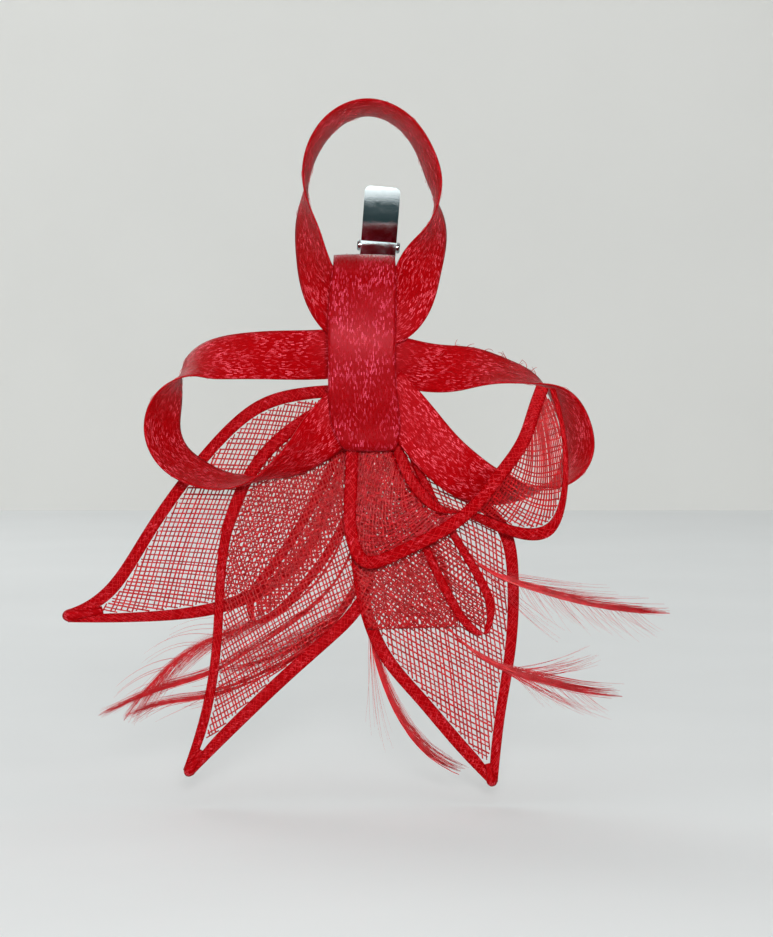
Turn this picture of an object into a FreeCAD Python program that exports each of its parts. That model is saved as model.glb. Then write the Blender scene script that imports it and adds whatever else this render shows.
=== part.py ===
import FreeCAD, Part

import math
import os

from FreeCAD import Rotation, Vector

# A flower hair clip: loops of woven abaca ribbon, net leaves with folded edge tapes and dyed
# feathers, gathered under a centre band and glued to a spring alligator clip.
# Millimetres. X to the wearer's right of the flower, Z up, Y from the flower's face to the clip.
# The origin is between the clip's jaws, where they hold the hair.

# ---- clip ---------------------------------------------------------------------------------
SHEET_STEEL = 0.5  # thickness of the pressed steel
CLIP_WIDTH = 7.5
JAW_TIP_WIDTH = 5.8
JAW_TAPER = 9.0  # the length over which the jaw widens from its tip
WAIST_HALF = 2.4  # the waist's half height about the pin
SHOULDER = 0.6  # the height of the slope between the waist and the full width
RIM_START = 3.6  # above the pin
JAW_REACH = 13.0  # from the origin down to the jaws' tips
PIN_HEIGHT = 19.7  # from the origin up to the hinge pin
TAB_TOP = 32.2  # from the origin up to the thumb tabs' ends
JAW_GAP = 3.4  # between the two plates, at rest
TAB_FLARE = 20.0  # each tab's lean away from the other, degrees
CLIP_LEAN = 4.5  # the clip's lean in the flower's plane, degrees
PIN_RADIUS = 0.75
PIN_CLEARANCE = 0.05
PIN_HEAD_RADIUS = 1.15
PIN_HEAD_LENGTH = 0.7
EAR_RADIUS = 1.45
EAR_CLEARANCE = 0.1  # between the front jaw's ears and the rear jaw's
TOOTH_PITCH = 1.6
TOOTH_DEPTH = 0.9
TOOTH_COUNT = 6
TOOTH_CLEARANCE = 0.15
TAB_RIM = 1.1  # depth of the rims along the front tab's sides
CORNER_RADIUS = 1.2

SPRING_WIRE = 0.55
SPRING_TURNS = 4
SPRING_CLEARANCE = 0.12  # between the coil and the pin, and between a leg and its tab
SPRING_LEG = 7.5

# ---- what joins the flower to the clip --------------------------------------------------------
GLUE_WIDTH = 6.0
GLUE_LENGTH = 24.0
GLUE_THICKNESS = 0.6
PAD_WIDTH = 12.0
PAD_LENGTH = 33.0
PAD_THICKNESS = 1.2
PAD_CENTRE_X = -1.4
PAD_CENTRE_Z = -2.6

# ---- cloth ------------------------------------------------------------------------------------
RIBBON_WIDTH = 10.5
RIBBON_THICKNESS = 0.8
NET_THICKNESS = 0.35
TAPE_THICKNESS = 0.8
LAYER_GAP = 0.1
RIBBON_GAP = 0.35  # between two ribbons under the band
TAPE_GAP = 0.1  # between a net and the tape along its edge
QUILL_THICKNESS = 0.6
QUILL_WIDTH = 0.8
THREAD = 0.5
THREAD_TURNS = 3
THREAD_TOP = 9.2
THREAD_BOTTOM = -9.2
THREAD_CORNER = 0.7
KNOT_HEIGHT = 5.5
KNOT_RADIUS = 0.7
RIBBON_CUP = 0.5

# ---- the stack inside the centre band, from the clip towards the face -----------------------
PLATE_BACK = JAW_GAP / 2
PLATE_FRONT = PLATE_BACK + SHEET_STEEL


class Stack:
    """Layers laid one on another towards the face, which is -Y."""

    def __init__(self, y):
        self.y = y

    def lay(self, thickness, gap=LAYER_GAP):
        """The middle of the next layer."""
        middle = self.y - gap - thickness / 2
        self.y = middle - thickness / 2
        return middle


glue_stack = Stack(-PLATE_FRONT)
GLUE_Y = glue_stack.lay(GLUE_THICKNESS, 0)
PAD_Y = glue_stack.lay(PAD_THICKNESS, 0)

leaf_stack = Stack(glue_stack.y)  # below the loops: the leaves' roots
BACK_QUILL_Y = leaf_stack.lay(QUILL_THICKNESS)
LEFT_LEAF_Y = leaf_stack.lay(TAPE_THICKNESS)
LEFT_PETAL_Y = leaf_stack.lay(TAPE_THICKNESS)
LOWER_LEFT_Y = leaf_stack.lay(TAPE_THICKNESS)
LOWER_RIGHT_Y = leaf_stack.lay(TAPE_THICKNESS)
FRONT_QUILL_Y = leaf_stack.lay(QUILL_THICKNESS)
PUFF_BACK_Y = leaf_stack.lay(NET_THICKNESS)
PUFF_FRONT_Y = leaf_stack.lay(NET_THICKNESS)
RIGHT_PETAL_Y = leaf_stack.lay(TAPE_THICKNESS)
RIGHT_LEAF_Y = leaf_stack.lay(TAPE_THICKNESS, RIBBON_GAP)
BAND_TUCK_Y = leaf_stack.lay(RIBBON_THICKNESS, RIBBON_GAP)
LEFT_LOWER_Y = leaf_stack.lay(RIBBON_THICKNESS, RIBBON_GAP)
RIGHT_LOWER_Y = leaf_stack.lay(RIBBON_THICKNESS, RIBBON_GAP)
BAND_FRONT_Y = leaf_stack.lay(RIBBON_THICKNESS, RIBBON_GAP)

loop_stack = Stack(glue_stack.y)  # beside the clip: the loops' roots, tied with thread
BAND_BACK_Y = loop_stack.lay(RIBBON_THICKNESS)
THREAD_BACK_Y = loop_stack.lay(THREAD, RIBBON_GAP)
LEFT_UPPER_Y = loop_stack.lay(RIBBON_THICKNESS, RIBBON_GAP)
RIGHT_UPPER_Y = loop_stack.lay(RIBBON_THICKNESS, RIBBON_GAP)
TOP_LEFT_Y = loop_stack.lay(RIBBON_THICKNESS, RIBBON_GAP)
TOP_RIGHT_Y = loop_stack.lay(RIBBON_THICKNESS, RIBBON_GAP)
THREAD_FRONT_Y = loop_stack.lay(THREAD, RIBBON_GAP)

# ---- the three loops: (x, y, z, turn). A turn of 0 or -180 shows the ribbon's face, -90 its edge --
LOOP_Y = -12.0
TOP_LOOP = [
    (3.0, TOP_LEFT_Y, 2.0, -180),
    (-1.0, TOP_LEFT_Y, 2.8, -180),
    (-5.0, TOP_LEFT_Y, 4.6, -176),
    (-9.2, -9.2, 9.4, -154),
    (-11.8, -10.6, 16.0, -132),
    (-13.2, -11.6, 24.0, -116),
    (-13.6, LOOP_Y, 31.3, -91),
    (-12.1, LOOP_Y, 39.1, -77),
    (-7.3, LOOP_Y, 45.7, -73),
    (-0.8, LOOP_Y, 48.2, -73),
    (6.2, LOOP_Y, 45.7, -73),
    (11.1, LOOP_Y, 39.1, -72),
    (13.3, LOOP_Y, 32.2, -76),
    (13.8, LOOP_Y, 27.2, -96),
    (13.0, -11.6, 22.2, -120),
    (10.3, -10.8, 15.6, -150),
    (8.2, -9.9, 9.2, -166),
    (4.9, TOP_RIGHT_Y, 4.8, -178),
    (0.6, TOP_RIGHT_Y, 2.9, -180),
    (-3.0, TOP_RIGHT_Y, 2.0, -180),
]
LEFT_LOOP = [
    (3.0, LEFT_UPPER_Y, -3.0, 0),
    (-2.0, LEFT_UPPER_Y, -3.0, 0),
    (-7.0, LEFT_UPPER_Y - 0.15, -3.0, 0),
    (-13.0, -7.4, -3.2, -6),
    (-19.5, -9.0, -3.2, -14),
    (-27.0, -10.6, -3.4, -26),
    (-33.0, -11.6, -4.1, -40),
    (-37.6, -12.2, -5.8, -66),
    (-40.6, -12.6, -9.0, -100),
    (-43.0, -12.8, -13.8, -126),
    (-43.7, -13.0, -18.9, -132),
    (-41.4, -13.2, -24.3, -128),
    (-36.8, -13.4, -27.7, -120),
    (-32.0, -13.6, -29.4, -110),
    (-26.0, -13.7, -29.4, -94),
    (-19.0, -13.8, -27.1, -64),
    (-12.8, -13.8, -22.5, -34),
    (-7.0, LEFT_LOWER_Y, -16.2, 0),
    (-3.0, LEFT_LOWER_Y, -12.4, 0),
    (0.5, LEFT_LOWER_Y, -9.3, 0),
]
RIGHT_LOOP = [
    (-3.0, RIGHT_UPPER_Y, -2.6, -180),
    (1.0, RIGHT_UPPER_Y, -3.4, -180),
    (5.5, RIGHT_UPPER_Y, -4.5, -178),
    (11.0, -8.3, -5.7, -168),
    (16.0, -9.2, -6.1, -158),
    (21.2, -10.2, -6.0, -142),
    (27.2, -11.0, -6.6, -120),
    (34.4, -11.7, -8.6, -98),
    (39.6, -12.0, -12.2, -66),
    (42.7, -12.0, -18.0, -56),
    (43.2, -12.0, -23.2, -56),
    (41.1, -12.0, -27.6, -68),
    (37.4, -12.0, -30.5, -90),
    (33.4, -12.4, -31.5, -106),
    (28.0, -13.4, -31.4, -127),
    (22.8, -14.8, -29.8, -150),
    (17.6, -15.2, -26.6, -172),
    (12.8, -15.0, -21.9, -179),
    (8.6, RIGHT_LOWER_Y, -16.8, -180),
    (5.4, RIGHT_LOWER_Y, -13.1, -180),
    (2.5, RIGHT_LOWER_Y, -9.8, -180),
]

# ---- the centre band: (y, z, left x, right x) from the back, over the top, down and under -------
BAND_LINE = [
    (BAND_BACK_Y, -6.0, -7.0, 4.8),
    (BAND_BACK_Y, 0.0, -7.1, 4.8),
    (BAND_BACK_Y, 6.0, -7.3, 4.8),
    (BAND_BACK_Y - 0.2, 11.5, -7.5, 4.9),
    (-6.6, 15.9, -7.8, 4.9),
    (-10.4, 17.6, -7.8, 4.9),
    (-14.1, 15.4, -7.9, 5.2),
    (-16.3, 9.0, -8.8, 5.4),
    (-17.5, 1.0, -9.0, 5.3),
    (-17.5, -7.0, -8.9, 5.3),
    (BAND_FRONT_Y - 0.7, -14.0, -8.7, 5.9),
    (BAND_FRONT_Y, -19.8, -7.4, 6.0),
    (BAND_FRONT_Y + 0.8, -22.7, -5.6, 5.0),
    (BAND_TUCK_Y - 0.9, -22.7, -4.8, 4.4),
    (BAND_TUCK_Y, -20.4, -4.6, 4.4),
    (BAND_TUCK_Y, -16.0, -5.6, 4.8),
    (BAND_TUCK_Y, -12.5, -5.6, 4.8),
]

# ---- leaves and petals: the two edges' points, root first, with as many points each -----------
LEAF_TAPE = 2.7
PETAL_TAPE = 1.9
LEAVES = {
    "left_leaf": {
        "tapes": ("upper", "lower"),
        "tape": LEAF_TAPE,
        "bow": 0.0,
        "edges": (
            [(-4, LEFT_LEAF_Y, -9.8), (-15, -5.3, -10.2), (-25.2, -5.2, -13.6), (-35.6, -5.1, -23.4),
             (-47.4, -4.9, -39.2), (-55.8, -4.8, -51.7), (-64.3, -4.8, -57.2)],
            [(-4, LEFT_LEAF_Y, -18), (-7.5, -5.3, -33.5), (-14, -5.3, -47), (-23, -5.2, -54.5),
             (-35, -5.1, -58.6), (-48.5, -4.8, -59.8), (-64.3, -4.8, -59.9)],
        ),
    },
    "left_petal": {
        "tapes": ("left", "right"),
        "tape": PETAL_TAPE,
        "bow": 0.0,
        "edges": (
            [(-4, LEFT_PETAL_Y, -12), (-9.5, -6.1, -27), (-16.5, -6.1, -40), (-22.5, -6.1, -48.5),
             (-26.4, -6.1, -55), (-25.6, -6.1, -59.4)],
            [(1, LEFT_PETAL_Y, -13), (-2, -6.1, -31), (-8, -6.1, -45), (-14.4, -6.1, -53.5),
             (-19.6, -6.1, -58.4), (-23.4, -6.1, -60.2)],
        ),
    },
    "lower_left_leaf": {
        "tapes": ("outer", "inner"),
        "tape": LEAF_TAPE,
        "bow": 0.0,
        "edges": (
            [(-4, LOWER_LEFT_Y, -11), (-15, -7.1, -16), (-25.5, -7.0, -26), (-31, -7.0, -38),
             (-33, -7.2, -54.5), (-34.5, -7.3, -71.5), (-39.8, -7.3, -91)],
            [(-0.5, LOWER_LEFT_Y, -18), (1, -7.0, -38), (-0.6, -7.0, -55), (-7, -7.2, -63),
             (-16.5, -7.3, -71.5), (-26.5, -7.3, -81), (-37.4, -7.3, -91.8)],
        ),
    },
    "lower_right_leaf": {
        "tapes": ("inner", "outer"),
        "tape": LEAF_TAPE,
        "bow": 0.4,
        "edges": (
            [(-3, LOWER_RIGHT_Y, -13), (-4, -8.05, -33.5), (-4, -8.05, -48.5), (0, -8.0, -64),
             (8.7, -7.8, -75.8), (17.2, -7.7, -85.8), (24.4, -7.6, -93.4)],
            [(3, LOWER_RIGHT_Y, -12), (14.5, -7.9, -27.5), (27.5, -7.8, -37), (31.1, -7.7, -48.5),
             (30.6, -7.7, -65), (28.4, -7.7, -79), (26.8, -7.6, -93.6)],
        ),
    },
    "right_petal": {
        "tapes": ("left", "right"),
        "tape": PETAL_TAPE,
        "bow": 0.0,
        "edges": (
            [(0, RIGHT_PETAL_Y, -13), (6.2, -11.3, -33.5), (11.6, -11.6, -46), (16, -11.6, -55),
             (19.6, -11.6, -60.3), (22.4, -11.6, -62.2)],
            [(5.5, RIGHT_PETAL_Y, -13), (13.8, -11.3, -33), (20.6, -11.6, -44.5), (24.6, -11.6, -51.5),
             (26, -11.6, -57), (24.8, -11.6, -61.6)],
        ),
    },
    "right_leaf": {
        "tapes": ("front", "back"),
        "tape": LEAF_TAPE,
        "bow": 0.0,
        "set_back": 1.1,
        "edges": (
            [(-3.6, RIGHT_LEAF_Y, -13), (-4.2, -12.2, -31), (-4, -13.4, -41), (-1.2, -14.6, -46.2),
             (6, -16, -44.2), (16, -18.2, -38.8), (21.8, -19.4, -34), (26.5, -20.3, -28.1),
             (31.3, -20.8, -21.2), (33.6, -20.7, -15), (35.5, -20, -9.6)],
            [(4, RIGHT_LEAF_Y, -13), (6, -11.65, -20), (7.6, -12.05, -25), (9.4, -12.5, -28.6),
             (11.8, -12.7, -31.6), (15, -12.8, -34.6), (20, -13.2, -36.9), (27.5, -14.8, -40.3),
             (37.4, -17.8, -40.6), (40.8, -19.8, -31), (38.2, -20, -9.9)],
        ),
    },
}

# ---- the puff: left edge, right edge of a net folded in two at its lower end --------------------
PUFF_LEFT = [(-3.0, -14.0), (-3.6, -33.0), (-3.4, -48.0), (-1.0, -59.5)]
PUFF_RIGHT = [(3.5, -14.0), (10.5, -33.0), (16.0, -48.0), (18.6, -59.0)]
PUFF_FOLD = 1.6  # how far the fold hangs below the two edges

# ---- feathers: centre line from the quill, widest vane width, share of the length that is quill ---
FEATHERS = {
    "right_feather_upper": (
        [(1.5, FRONT_QUILL_Y, -13), (12.5, -8.7, -33.5), (26, -8.7, -49.5), (33.5, -9.2, -52.5),
         (42, -9.6, -55), (52.5, -9.6, -57), (63, -9.4, -57.6)], 3.6, 0.55),
    "right_feather_lower": (
        [(-1.2, FRONT_QUILL_Y, -13), (4, -8.7, -40), (10, -8.7, -52), (17, -8.7, -61.5),
         (27.5, -9.1, -69.5), (36, -9.5, -72.2), (46.5, -9.5, -74.5), (53, -9.4, -75.2)], 3.6, 0.6),
    "bottom_feather": (
        [(2.5, BACK_QUILL_Y, -13), (0.5, -4.3, -42), (-0.2, -4.3, -62), (3, -4.3, -74.5),
         (7, -4.3, -82.5), (12.7, -4.2, -89), (18.7, -4.2, -92.5)], 3.2, 0.55),
    "left_feather_first": (
        [(-3.2, BACK_QUILL_Y, -12), (-3.8, BACK_QUILL_Y, -24), (-6.6, -3.9, -43), (-16, -3.8, -55.5),
         (-28.5, -3.8, -61.5),
         (-40, -3.8, -67), (-48.5, -3.8, -75.5), (-52.6, -3.8, -81)], 5.5, 0.45),
    "left_feather_second": (
        [(-2.1, BACK_QUILL_Y, -12), (-2.5, BACK_QUILL_Y, -24), (-4.7, -3.2, -46), (-15, -3.1, -59),
         (-25.5, -3.1, -66),
         (-35, -3.1, -71.5), (-46.5, -3.1, -75), (-58, -3.1, -80)], 3.2, 0.55),
    "left_feather_third": (
        [(-1.0, BACK_QUILL_Y, -12), (-1.2, BACK_QUILL_Y, -23), (-1.8, -3.1, -38), (-4, -2.45, -53),
         (-13, -2.4, -65.5), (-24.5, -2.4, -72.5),
         (-36, -2.4, -76.5), (-46.5, -2.4, -78), (-52.5, -2.4, -80.2)], 3.0, 0.6),
    "left_feather_fourth": (
        [(0.1, BACK_QUILL_Y, -12), (0.1, BACK_QUILL_Y, -22), (-0.1, -2.6, -36), (-1.9, -1.7, -50),
         (-8, -1.6, -60.5), (-16, -1.6, -65.5),
         (-24, -1.6, -68.8), (-34, -1.6, -70.8)], 4.4, 0.6),
}

ROWS_PER_SHEET = 30
NET_COLUMNS = 5


# ---- curves and sheets -----------------------------------------------------------------------
def chord_parameters(*lines):
    """Parameters from 0 to 1 for lines that run side by side, from their mean point spacing."""
    steps = [
        sum((line[i + 1] - line[i]).Length for line in lines) for i in range(len(lines[0]) - 1)
    ]
    total = sum(steps)
    values = [0.0]
    for step in steps:
        values.append(values[-1] + step / total)
    values[-1] = 1.0
    return values


def curve_through(points, parameters):
    curve = Part.BSplineCurve()
    curve.interpolate(Points=points, Parameters=parameters)
    return curve


def surface_through(grid):
    surface = Part.BSplineSurface()
    surface.interpolate(grid)
    return surface


def normals(grid):
    """A unit normal at each grid point, from its neighbours."""
    rows, columns = len(grid), len(grid[0])
    result = []
    for i in range(rows):
        before, after = grid[max(i - 1, 0)], grid[min(i + 1, rows - 1)]
        line = []
        for j in range(columns):
            along = after[j] - before[j]
            across = grid[i][min(j + 1, columns - 1)] - grid[i][max(j - 1, 0)]
            line.append(along.cross(across).normalize())
        result.append(line)
    return result


def sheet(grid, thickness):
    """A solid sheet with the grid as its middle surface."""
    normal = normals(grid)
    sides = []
    for sign in (1, -1):
        shift = sign * thickness / 2
        sides.append(
            surface_through(
                [[p + n * shift for p, n in zip(*pair)] for pair in zip(grid, normal)]
            )
        )
    faces = [side.toShape() for side in sides]
    u0, u1, v0, v1 = sides[0].bounds()
    for cut in (
        lambda s: s.uIso(u0), lambda s: s.uIso(u1), lambda s: s.vIso(v0), lambda s: s.vIso(v1)
    ):
        faces.append(Part.makeRuledSurface(cut(sides[0]).toShape(), cut(sides[1]).toShape(), 1))
    shell = Part.makeShell(faces)
    shell.sewShape()
    solid = Part.makeSolid(shell)
    if solid.Volume < 0:
        solid.reverse()
    return solid


def ribbon(stations, width, cup):
    """A ribbon along (x, y, z, turn) stations. Its cross direction is turned about its line."""
    points = [Vector(x, y, z) for x, y, z, turn in stations]
    parameters = chord_parameters(points)
    line = curve_through(points, parameters)
    turns = curve_through(
        [Vector(station[3], 500 * t, 0) for station, t in zip(stations, parameters)], parameters
    )
    grid = []
    for i in range(ROWS_PER_SHEET + 1):
        t = i / ROWS_PER_SHEET
        centre = line.value(t)
        along = line.tangent(t)[0]
        turn = math.radians(turns.value(t).x)
        beside = Vector(-along.z, 0, along.x).normalize()
        across = beside * math.cos(turn) + Vector(0, 1, 0) * math.sin(turn)
        across = (across - along * across.dot(along)).normalize()
        face = along.cross(across)
        grid.append([
            centre + across * (width * s) + face * (cup * abs(math.sin(turn)) * (0.5 - 4 * s * s))
            for s in (-0.5, -0.25, 0, 0.25, 0.5)
        ])
    return sheet(grid, RIBBON_THICKNESS)


class Leaf:
    """A pointed sheet ruled between two edges, with a folded tape along each."""

    def __init__(self, edges, tape, bow, tapes, set_back=0.0):
        first, second = ([Vector(*p) for p in edge] for edge in edges)
        parameters = chord_parameters(first, second)
        self.first = curve_through(first, parameters)
        self.second = curve_through(second, parameters)
        self.tape = tape
        self.bow = bow
        self.set_back = set_back  # how far the net's first edge lies behind its tape
        self.net_end = self.find_net_end()

    def width(self, u):
        return (self.second.value(u) - self.first.value(u)).Length

    def find_net_end(self):
        """How far along the leaf the net still shows between the two tapes."""
        least = 2 * (self.tape + TAPE_GAP) + NET_THICKNESS
        u = 1.0
        while self.width(u) < least:
            u -= 0.005
        return u

    def point(self, u, v):
        point = self.first.value(u) * (1 - v) + self.second.value(u) * v
        return point + Vector(0, self.bow * 4 * v * (1 - v) * math.sin(math.pi * u), 0)

    def tape_share(self, u):
        """The tape's share of the leaf's width. It eases to nearly half where the tapes meet."""
        share = self.tape / self.width(u)
        half = 0.5 - TAPE_GAP / 2 / self.width(u)
        return share * half / (share ** 4 + half ** 4) ** 0.25

    def grid(self, end, low, high, columns):
        rows = []
        for i in range(ROWS_PER_SHEET + 1):
            u = end * i / ROWS_PER_SHEET
            a, b = low(u), high(u)
            rows.append([self.point(u, a + (b - a) * j / (columns - 1)) for j in range(columns)])
        return rows

    def net(self):
        def low(u):
            return 0.0 if self.set_back else (self.tape + TAPE_GAP) / self.width(u)

        def high(u):
            return 1 - (self.tape + TAPE_GAP) / self.width(u)

        rows = self.grid(self.net_end, low, high, NET_COLUMNS)
        for row in rows:
            for j, point in enumerate(row):
                point.y += self.set_back * (1 - j / (len(row) - 1))
        return sheet(rows, NET_THICKNESS)

    def facing_rows(self):
        """The first tape as a strip that lies along its edge, facing the front, where the leaf curls."""
        rows = []
        for i in range(2 * ROWS_PER_SHEET + 1):
            u = i / (2 * ROWS_PER_SHEET)
            along = self.first.tangent(u)[0]
            across = Vector(-along.z, 0, along.x).normalize()
            width = min(self.tape, self.width(u) - 2 * TAPE_GAP)
            rows.append([self.first.value(u) + across * (width * s) for s in (-0.5, 0, 0.5)])
        return rows

    def tapes(self):
        if self.set_back:
            first = self.facing_rows()
        else:
            first = self.grid(1.0, lambda u: 0.0, self.tape_share, 3)
        second = self.grid(1.0, lambda u: 1 - self.tape_share(u), lambda u: 1.0, 3)
        return sheet(first, TAPE_THICKNESS), sheet(second, TAPE_THICKNESS)


def make_band():
    """The wide ribbon that is wrapped over the loops' roots, as a tube that is open at its sides."""
    left = [Vector(x0, y, z) for y, z, x0, x1 in BAND_LINE]
    right = [Vector(x1, y, z) for y, z, x0, x1 in BAND_LINE]
    parameters = chord_parameters(left, right)
    left, right = curve_through(left, parameters), curve_through(right, parameters)
    columns = 5
    grid = []
    for i in range(2 * ROWS_PER_SHEET + 1):
        t = i / (2 * ROWS_PER_SHEET)
        a, b = left.value(t), right.value(t)
        grid.append([a + (b - a) * (j / (columns - 1)) for j in range(columns)])
    return sheet(grid, RIBBON_THICKNESS)


def make_puff():
    """A wide net that goes down behind, folds at its lower end and comes up in front."""
    left = [Vector(x, 0, z) for x, z in PUFF_LEFT]
    right = [Vector(x, 0, z) for x, z in PUFF_RIGHT]
    parameters = chord_parameters(left, right)
    left, right = curve_through(left, parameters), curve_through(right, parameters)
    middle = (PUFF_BACK_Y + PUFF_FRONT_Y) / 2
    root_spread = (PUFF_BACK_Y - PUFF_FRONT_Y) / 2
    open_spread = 0.5
    columns, steps, turn_steps = 5, 12, 6

    def row(t, y, drop):
        a, b = left.value(t), right.value(t)
        down = Vector(0, y, -drop)
        return [a + (b - a) * (j / (columns - 1)) + down for j in range(columns)]

    def spread(t):
        return root_spread + (open_spread - root_spread) * min(1.0, 2 * t)

    front_shift = -0.3  # the front layer bulges more than the back one
    rows = [row(i / steps, middle + spread(i / steps) * 0.6, 0) for i in range(steps)]
    back, front = middle + open_spread * 0.6, middle - open_spread + front_shift
    for i in range(turn_steps + 1):
        angle = math.pi * i / turn_steps
        y = (back + front) / 2 + (back - front) / 2 * math.cos(angle)
        rows.append(row(1.0, y, PUFF_FOLD * math.sin(angle)))
    for i in range(steps - 1, -1, -1):
        t = i / steps
        rows.append(row(t, middle - spread(t) + front_shift * min(1.0, 2 * t), 0))
    return sheet(rows, NET_THICKNESS)


def make_feather(line, vane, quill):
    """A quill that widens into a narrow vane, flat in the flower's plane."""
    points = [Vector(*p) for p in line]
    curve = curve_through(points, chord_parameters(points))
    tip_width = 0.5
    grid = []
    for i in range(ROWS_PER_SHEET + 1):
        t = i / ROWS_PER_SHEET
        along = curve.tangent(t)[0]
        across = Vector(-along.z, 0, along.x).normalize()
        if t < quill:
            width = QUILL_WIDTH
        else:
            s = (t - quill) / (1 - quill)
            body = math.sin(math.pi * min(s, 0.95) ** 0.6)
            width = QUILL_WIDTH + (vane - QUILL_WIDTH) * max(0.0, body)
            width += (tip_width - QUILL_WIDTH) * s
        grid.append([curve.value(t) + across * (width * s) for s in (-0.5, 0, 0.5)])
    return sheet(grid, QUILL_THICKNESS - LAYER_GAP)


# ---- the tie -----------------------------------------------------------------------------------
def make_thread():
    """Turns of thread round the loops' roots, knotted in front."""
    pitch = THREAD + LAYER_GAP
    width = (THREAD_TURNS - 1) * pitch + THREAD
    turns = []
    for turn in range(THREAD_TURNS):
        left = turn * pitch - width / 2
        outside = thread_block(left, THREAD / 2)
        inside = thread_block(left, -THREAD / 2)
        turns.append(outside.cut(inside))
    knot = Part.makeCylinder(
        KNOT_RADIUS, width, Vector(-width / 2, THREAD_FRONT_Y - THREAD, KNOT_HEIGHT), Vector(1, 0, 0)
    )
    tie = turns[0].multiFuse(turns[1:] + [knot])
    return tie.removeSplitter()


def thread_block(left, growth):
    """A round-cornered block, one thread wide, whose sides stand off the thread's centre line."""
    depth = THREAD_BACK_Y - THREAD_FRONT_Y + 2 * growth
    height = THREAD_TOP - THREAD_BOTTOM + 2 * growth
    block = Part.makeBox(
        THREAD, depth, height, Vector(left, THREAD_FRONT_Y - growth, THREAD_BOTTOM - growth)
    )
    corners = [e for e in block.Edges if abs(e.tangentAt(e.FirstParameter).x) > 0.5]
    return block.makeFillet(THREAD_CORNER + growth, corners)


# ---- clip ----------------------------------------------------------------------------------------
def leaned(shape):
    """Turns a piece of the clip from upright to its lean in the flower's plane."""
    shape.rotate(Vector(0, 0, 0), Vector(0, 1, 0), CLIP_LEAN)
    return shape


def bent_plate(side):
    """The long plate of one jaw with its thumb tab. side is -1 for the front and 1 for the rear."""
    t = SHEET_STEEL
    bend = PIN_HEIGHT + 1.0
    rise = TAB_TOP - bend
    flare = math.tan(math.radians(TAB_FLARE)) * rise
    middle = PLATE_BACK + t / 2
    inner = [(middle - t / 2, -JAW_REACH), (middle - t / 2, bend), (middle - t / 2 + flare, TAB_TOP)]
    slant = t / math.cos(math.radians(TAB_FLARE))
    outer = [(middle - t / 2 + slant + flare, TAB_TOP), (middle + t / 2, bend), (middle + t / 2, -JAW_REACH)]
    profile = [Vector(-CLIP_WIDTH / 2, side * y, z) for y, z in inner + outer]
    return Part.Face(Part.makePolygon(profile + profile[:1])).extrude(Vector(CLIP_WIDTH, 0, 0))


def plan_outline(body_width, waist):
    """The jaw's outline seen from the front: a narrower tip, an optional waist and a round tab end."""
    tip, wide = JAW_TIP_WIDTH / 2, body_width / 2
    taper_top = -JAW_REACH + JAW_TAPER
    low_shoulder, high_shoulder = (PIN_HEIGHT + s * (WAIST_HALF + SHOULDER) for s in (-1, 1))
    points = [
        (-tip, -JAW_REACH), (tip, -JAW_REACH), (wide, taper_top), (wide, low_shoulder),
        (waist / 2, PIN_HEIGHT - WAIST_HALF), (waist / 2, PIN_HEIGHT + WAIST_HALF), (wide, high_shoulder),
        (wide, TAB_TOP), (-wide, TAB_TOP), (-wide, high_shoulder), (-waist / 2, PIN_HEIGHT + WAIST_HALF),
        (-waist / 2, PIN_HEIGHT - WAIST_HALF), (-wide, low_shoulder), (-wide, taper_top),
    ]
    reach = 2 * TAB_TOP
    wire = Part.makePolygon([Vector(x, -reach, z) for x, z in points + points[:1]])
    block = Part.Face(wire).extrude(Vector(0, 2 * reach, 0))
    corners = [
        e for e in block.Edges
        if e.BoundBox.YLength > reach and (e.BoundBox.ZMin > TAB_TOP - 0.1 or e.BoundBox.ZMax < 0.1 - JAW_REACH)
    ]
    return block.makeFillet(CORNER_RADIUS, corners)


def plate_in_x(points, x):
    """A flange of sheet steel from x towards +X, from (y, z) points."""
    wire = Part.makePolygon([Vector(x, y, z) for y, z in points + points[:1]])
    return Part.Face(wire).extrude(Vector(SHEET_STEEL, 0, 0))


def ears(side, outer_half_width):
    """The two flanges that carry the hinge pin."""
    plate = side * (PLATE_BACK + SHEET_STEEL / 2)
    base = EAR_RADIUS + 1.6
    result = []
    for x in (-outer_half_width, outer_half_width - SHEET_STEEL):
        flange = plate_in_x([(plate, PIN_HEIGHT - base), (plate, PIN_HEIGHT + base * 0.3),
                             (side * 0.2, PIN_HEIGHT + EAR_RADIUS * 0.98),
                             (side * 0.2, PIN_HEIGHT - EAR_RADIUS * 0.98)], x)
        disc = Part.makeCylinder(EAR_RADIUS, SHEET_STEEL, Vector(x, 0, PIN_HEIGHT), Vector(1, 0, 0))
        result.append(flange.fuse(disc))
    return result


def toothed_rims(side):
    """The toothed edges along the jaw's sides near its tip, in mesh with the other jaw's."""
    start = -JAW_REACH + 0.6
    plate = side * (PLATE_BACK + SHEET_STEEL / 2)
    shift = side * TOOTH_CLEARANCE / 2
    points = [(plate, start)]
    for i in range(TOOTH_COUNT + 1):
        z = start + i * TOOTH_PITCH
        points.append((shift - TOOTH_DEPTH / 2, z))
        if i < TOOTH_COUNT:
            points.append((shift + TOOTH_DEPTH / 2, z + TOOTH_PITCH / 2))
    points.append((plate, start + TOOTH_COUNT * TOOTH_PITCH))
    half = JAW_TIP_WIDTH / 2
    return [plate_in_x(points, x) for x in (-half, half - SHEET_STEEL)]


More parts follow.
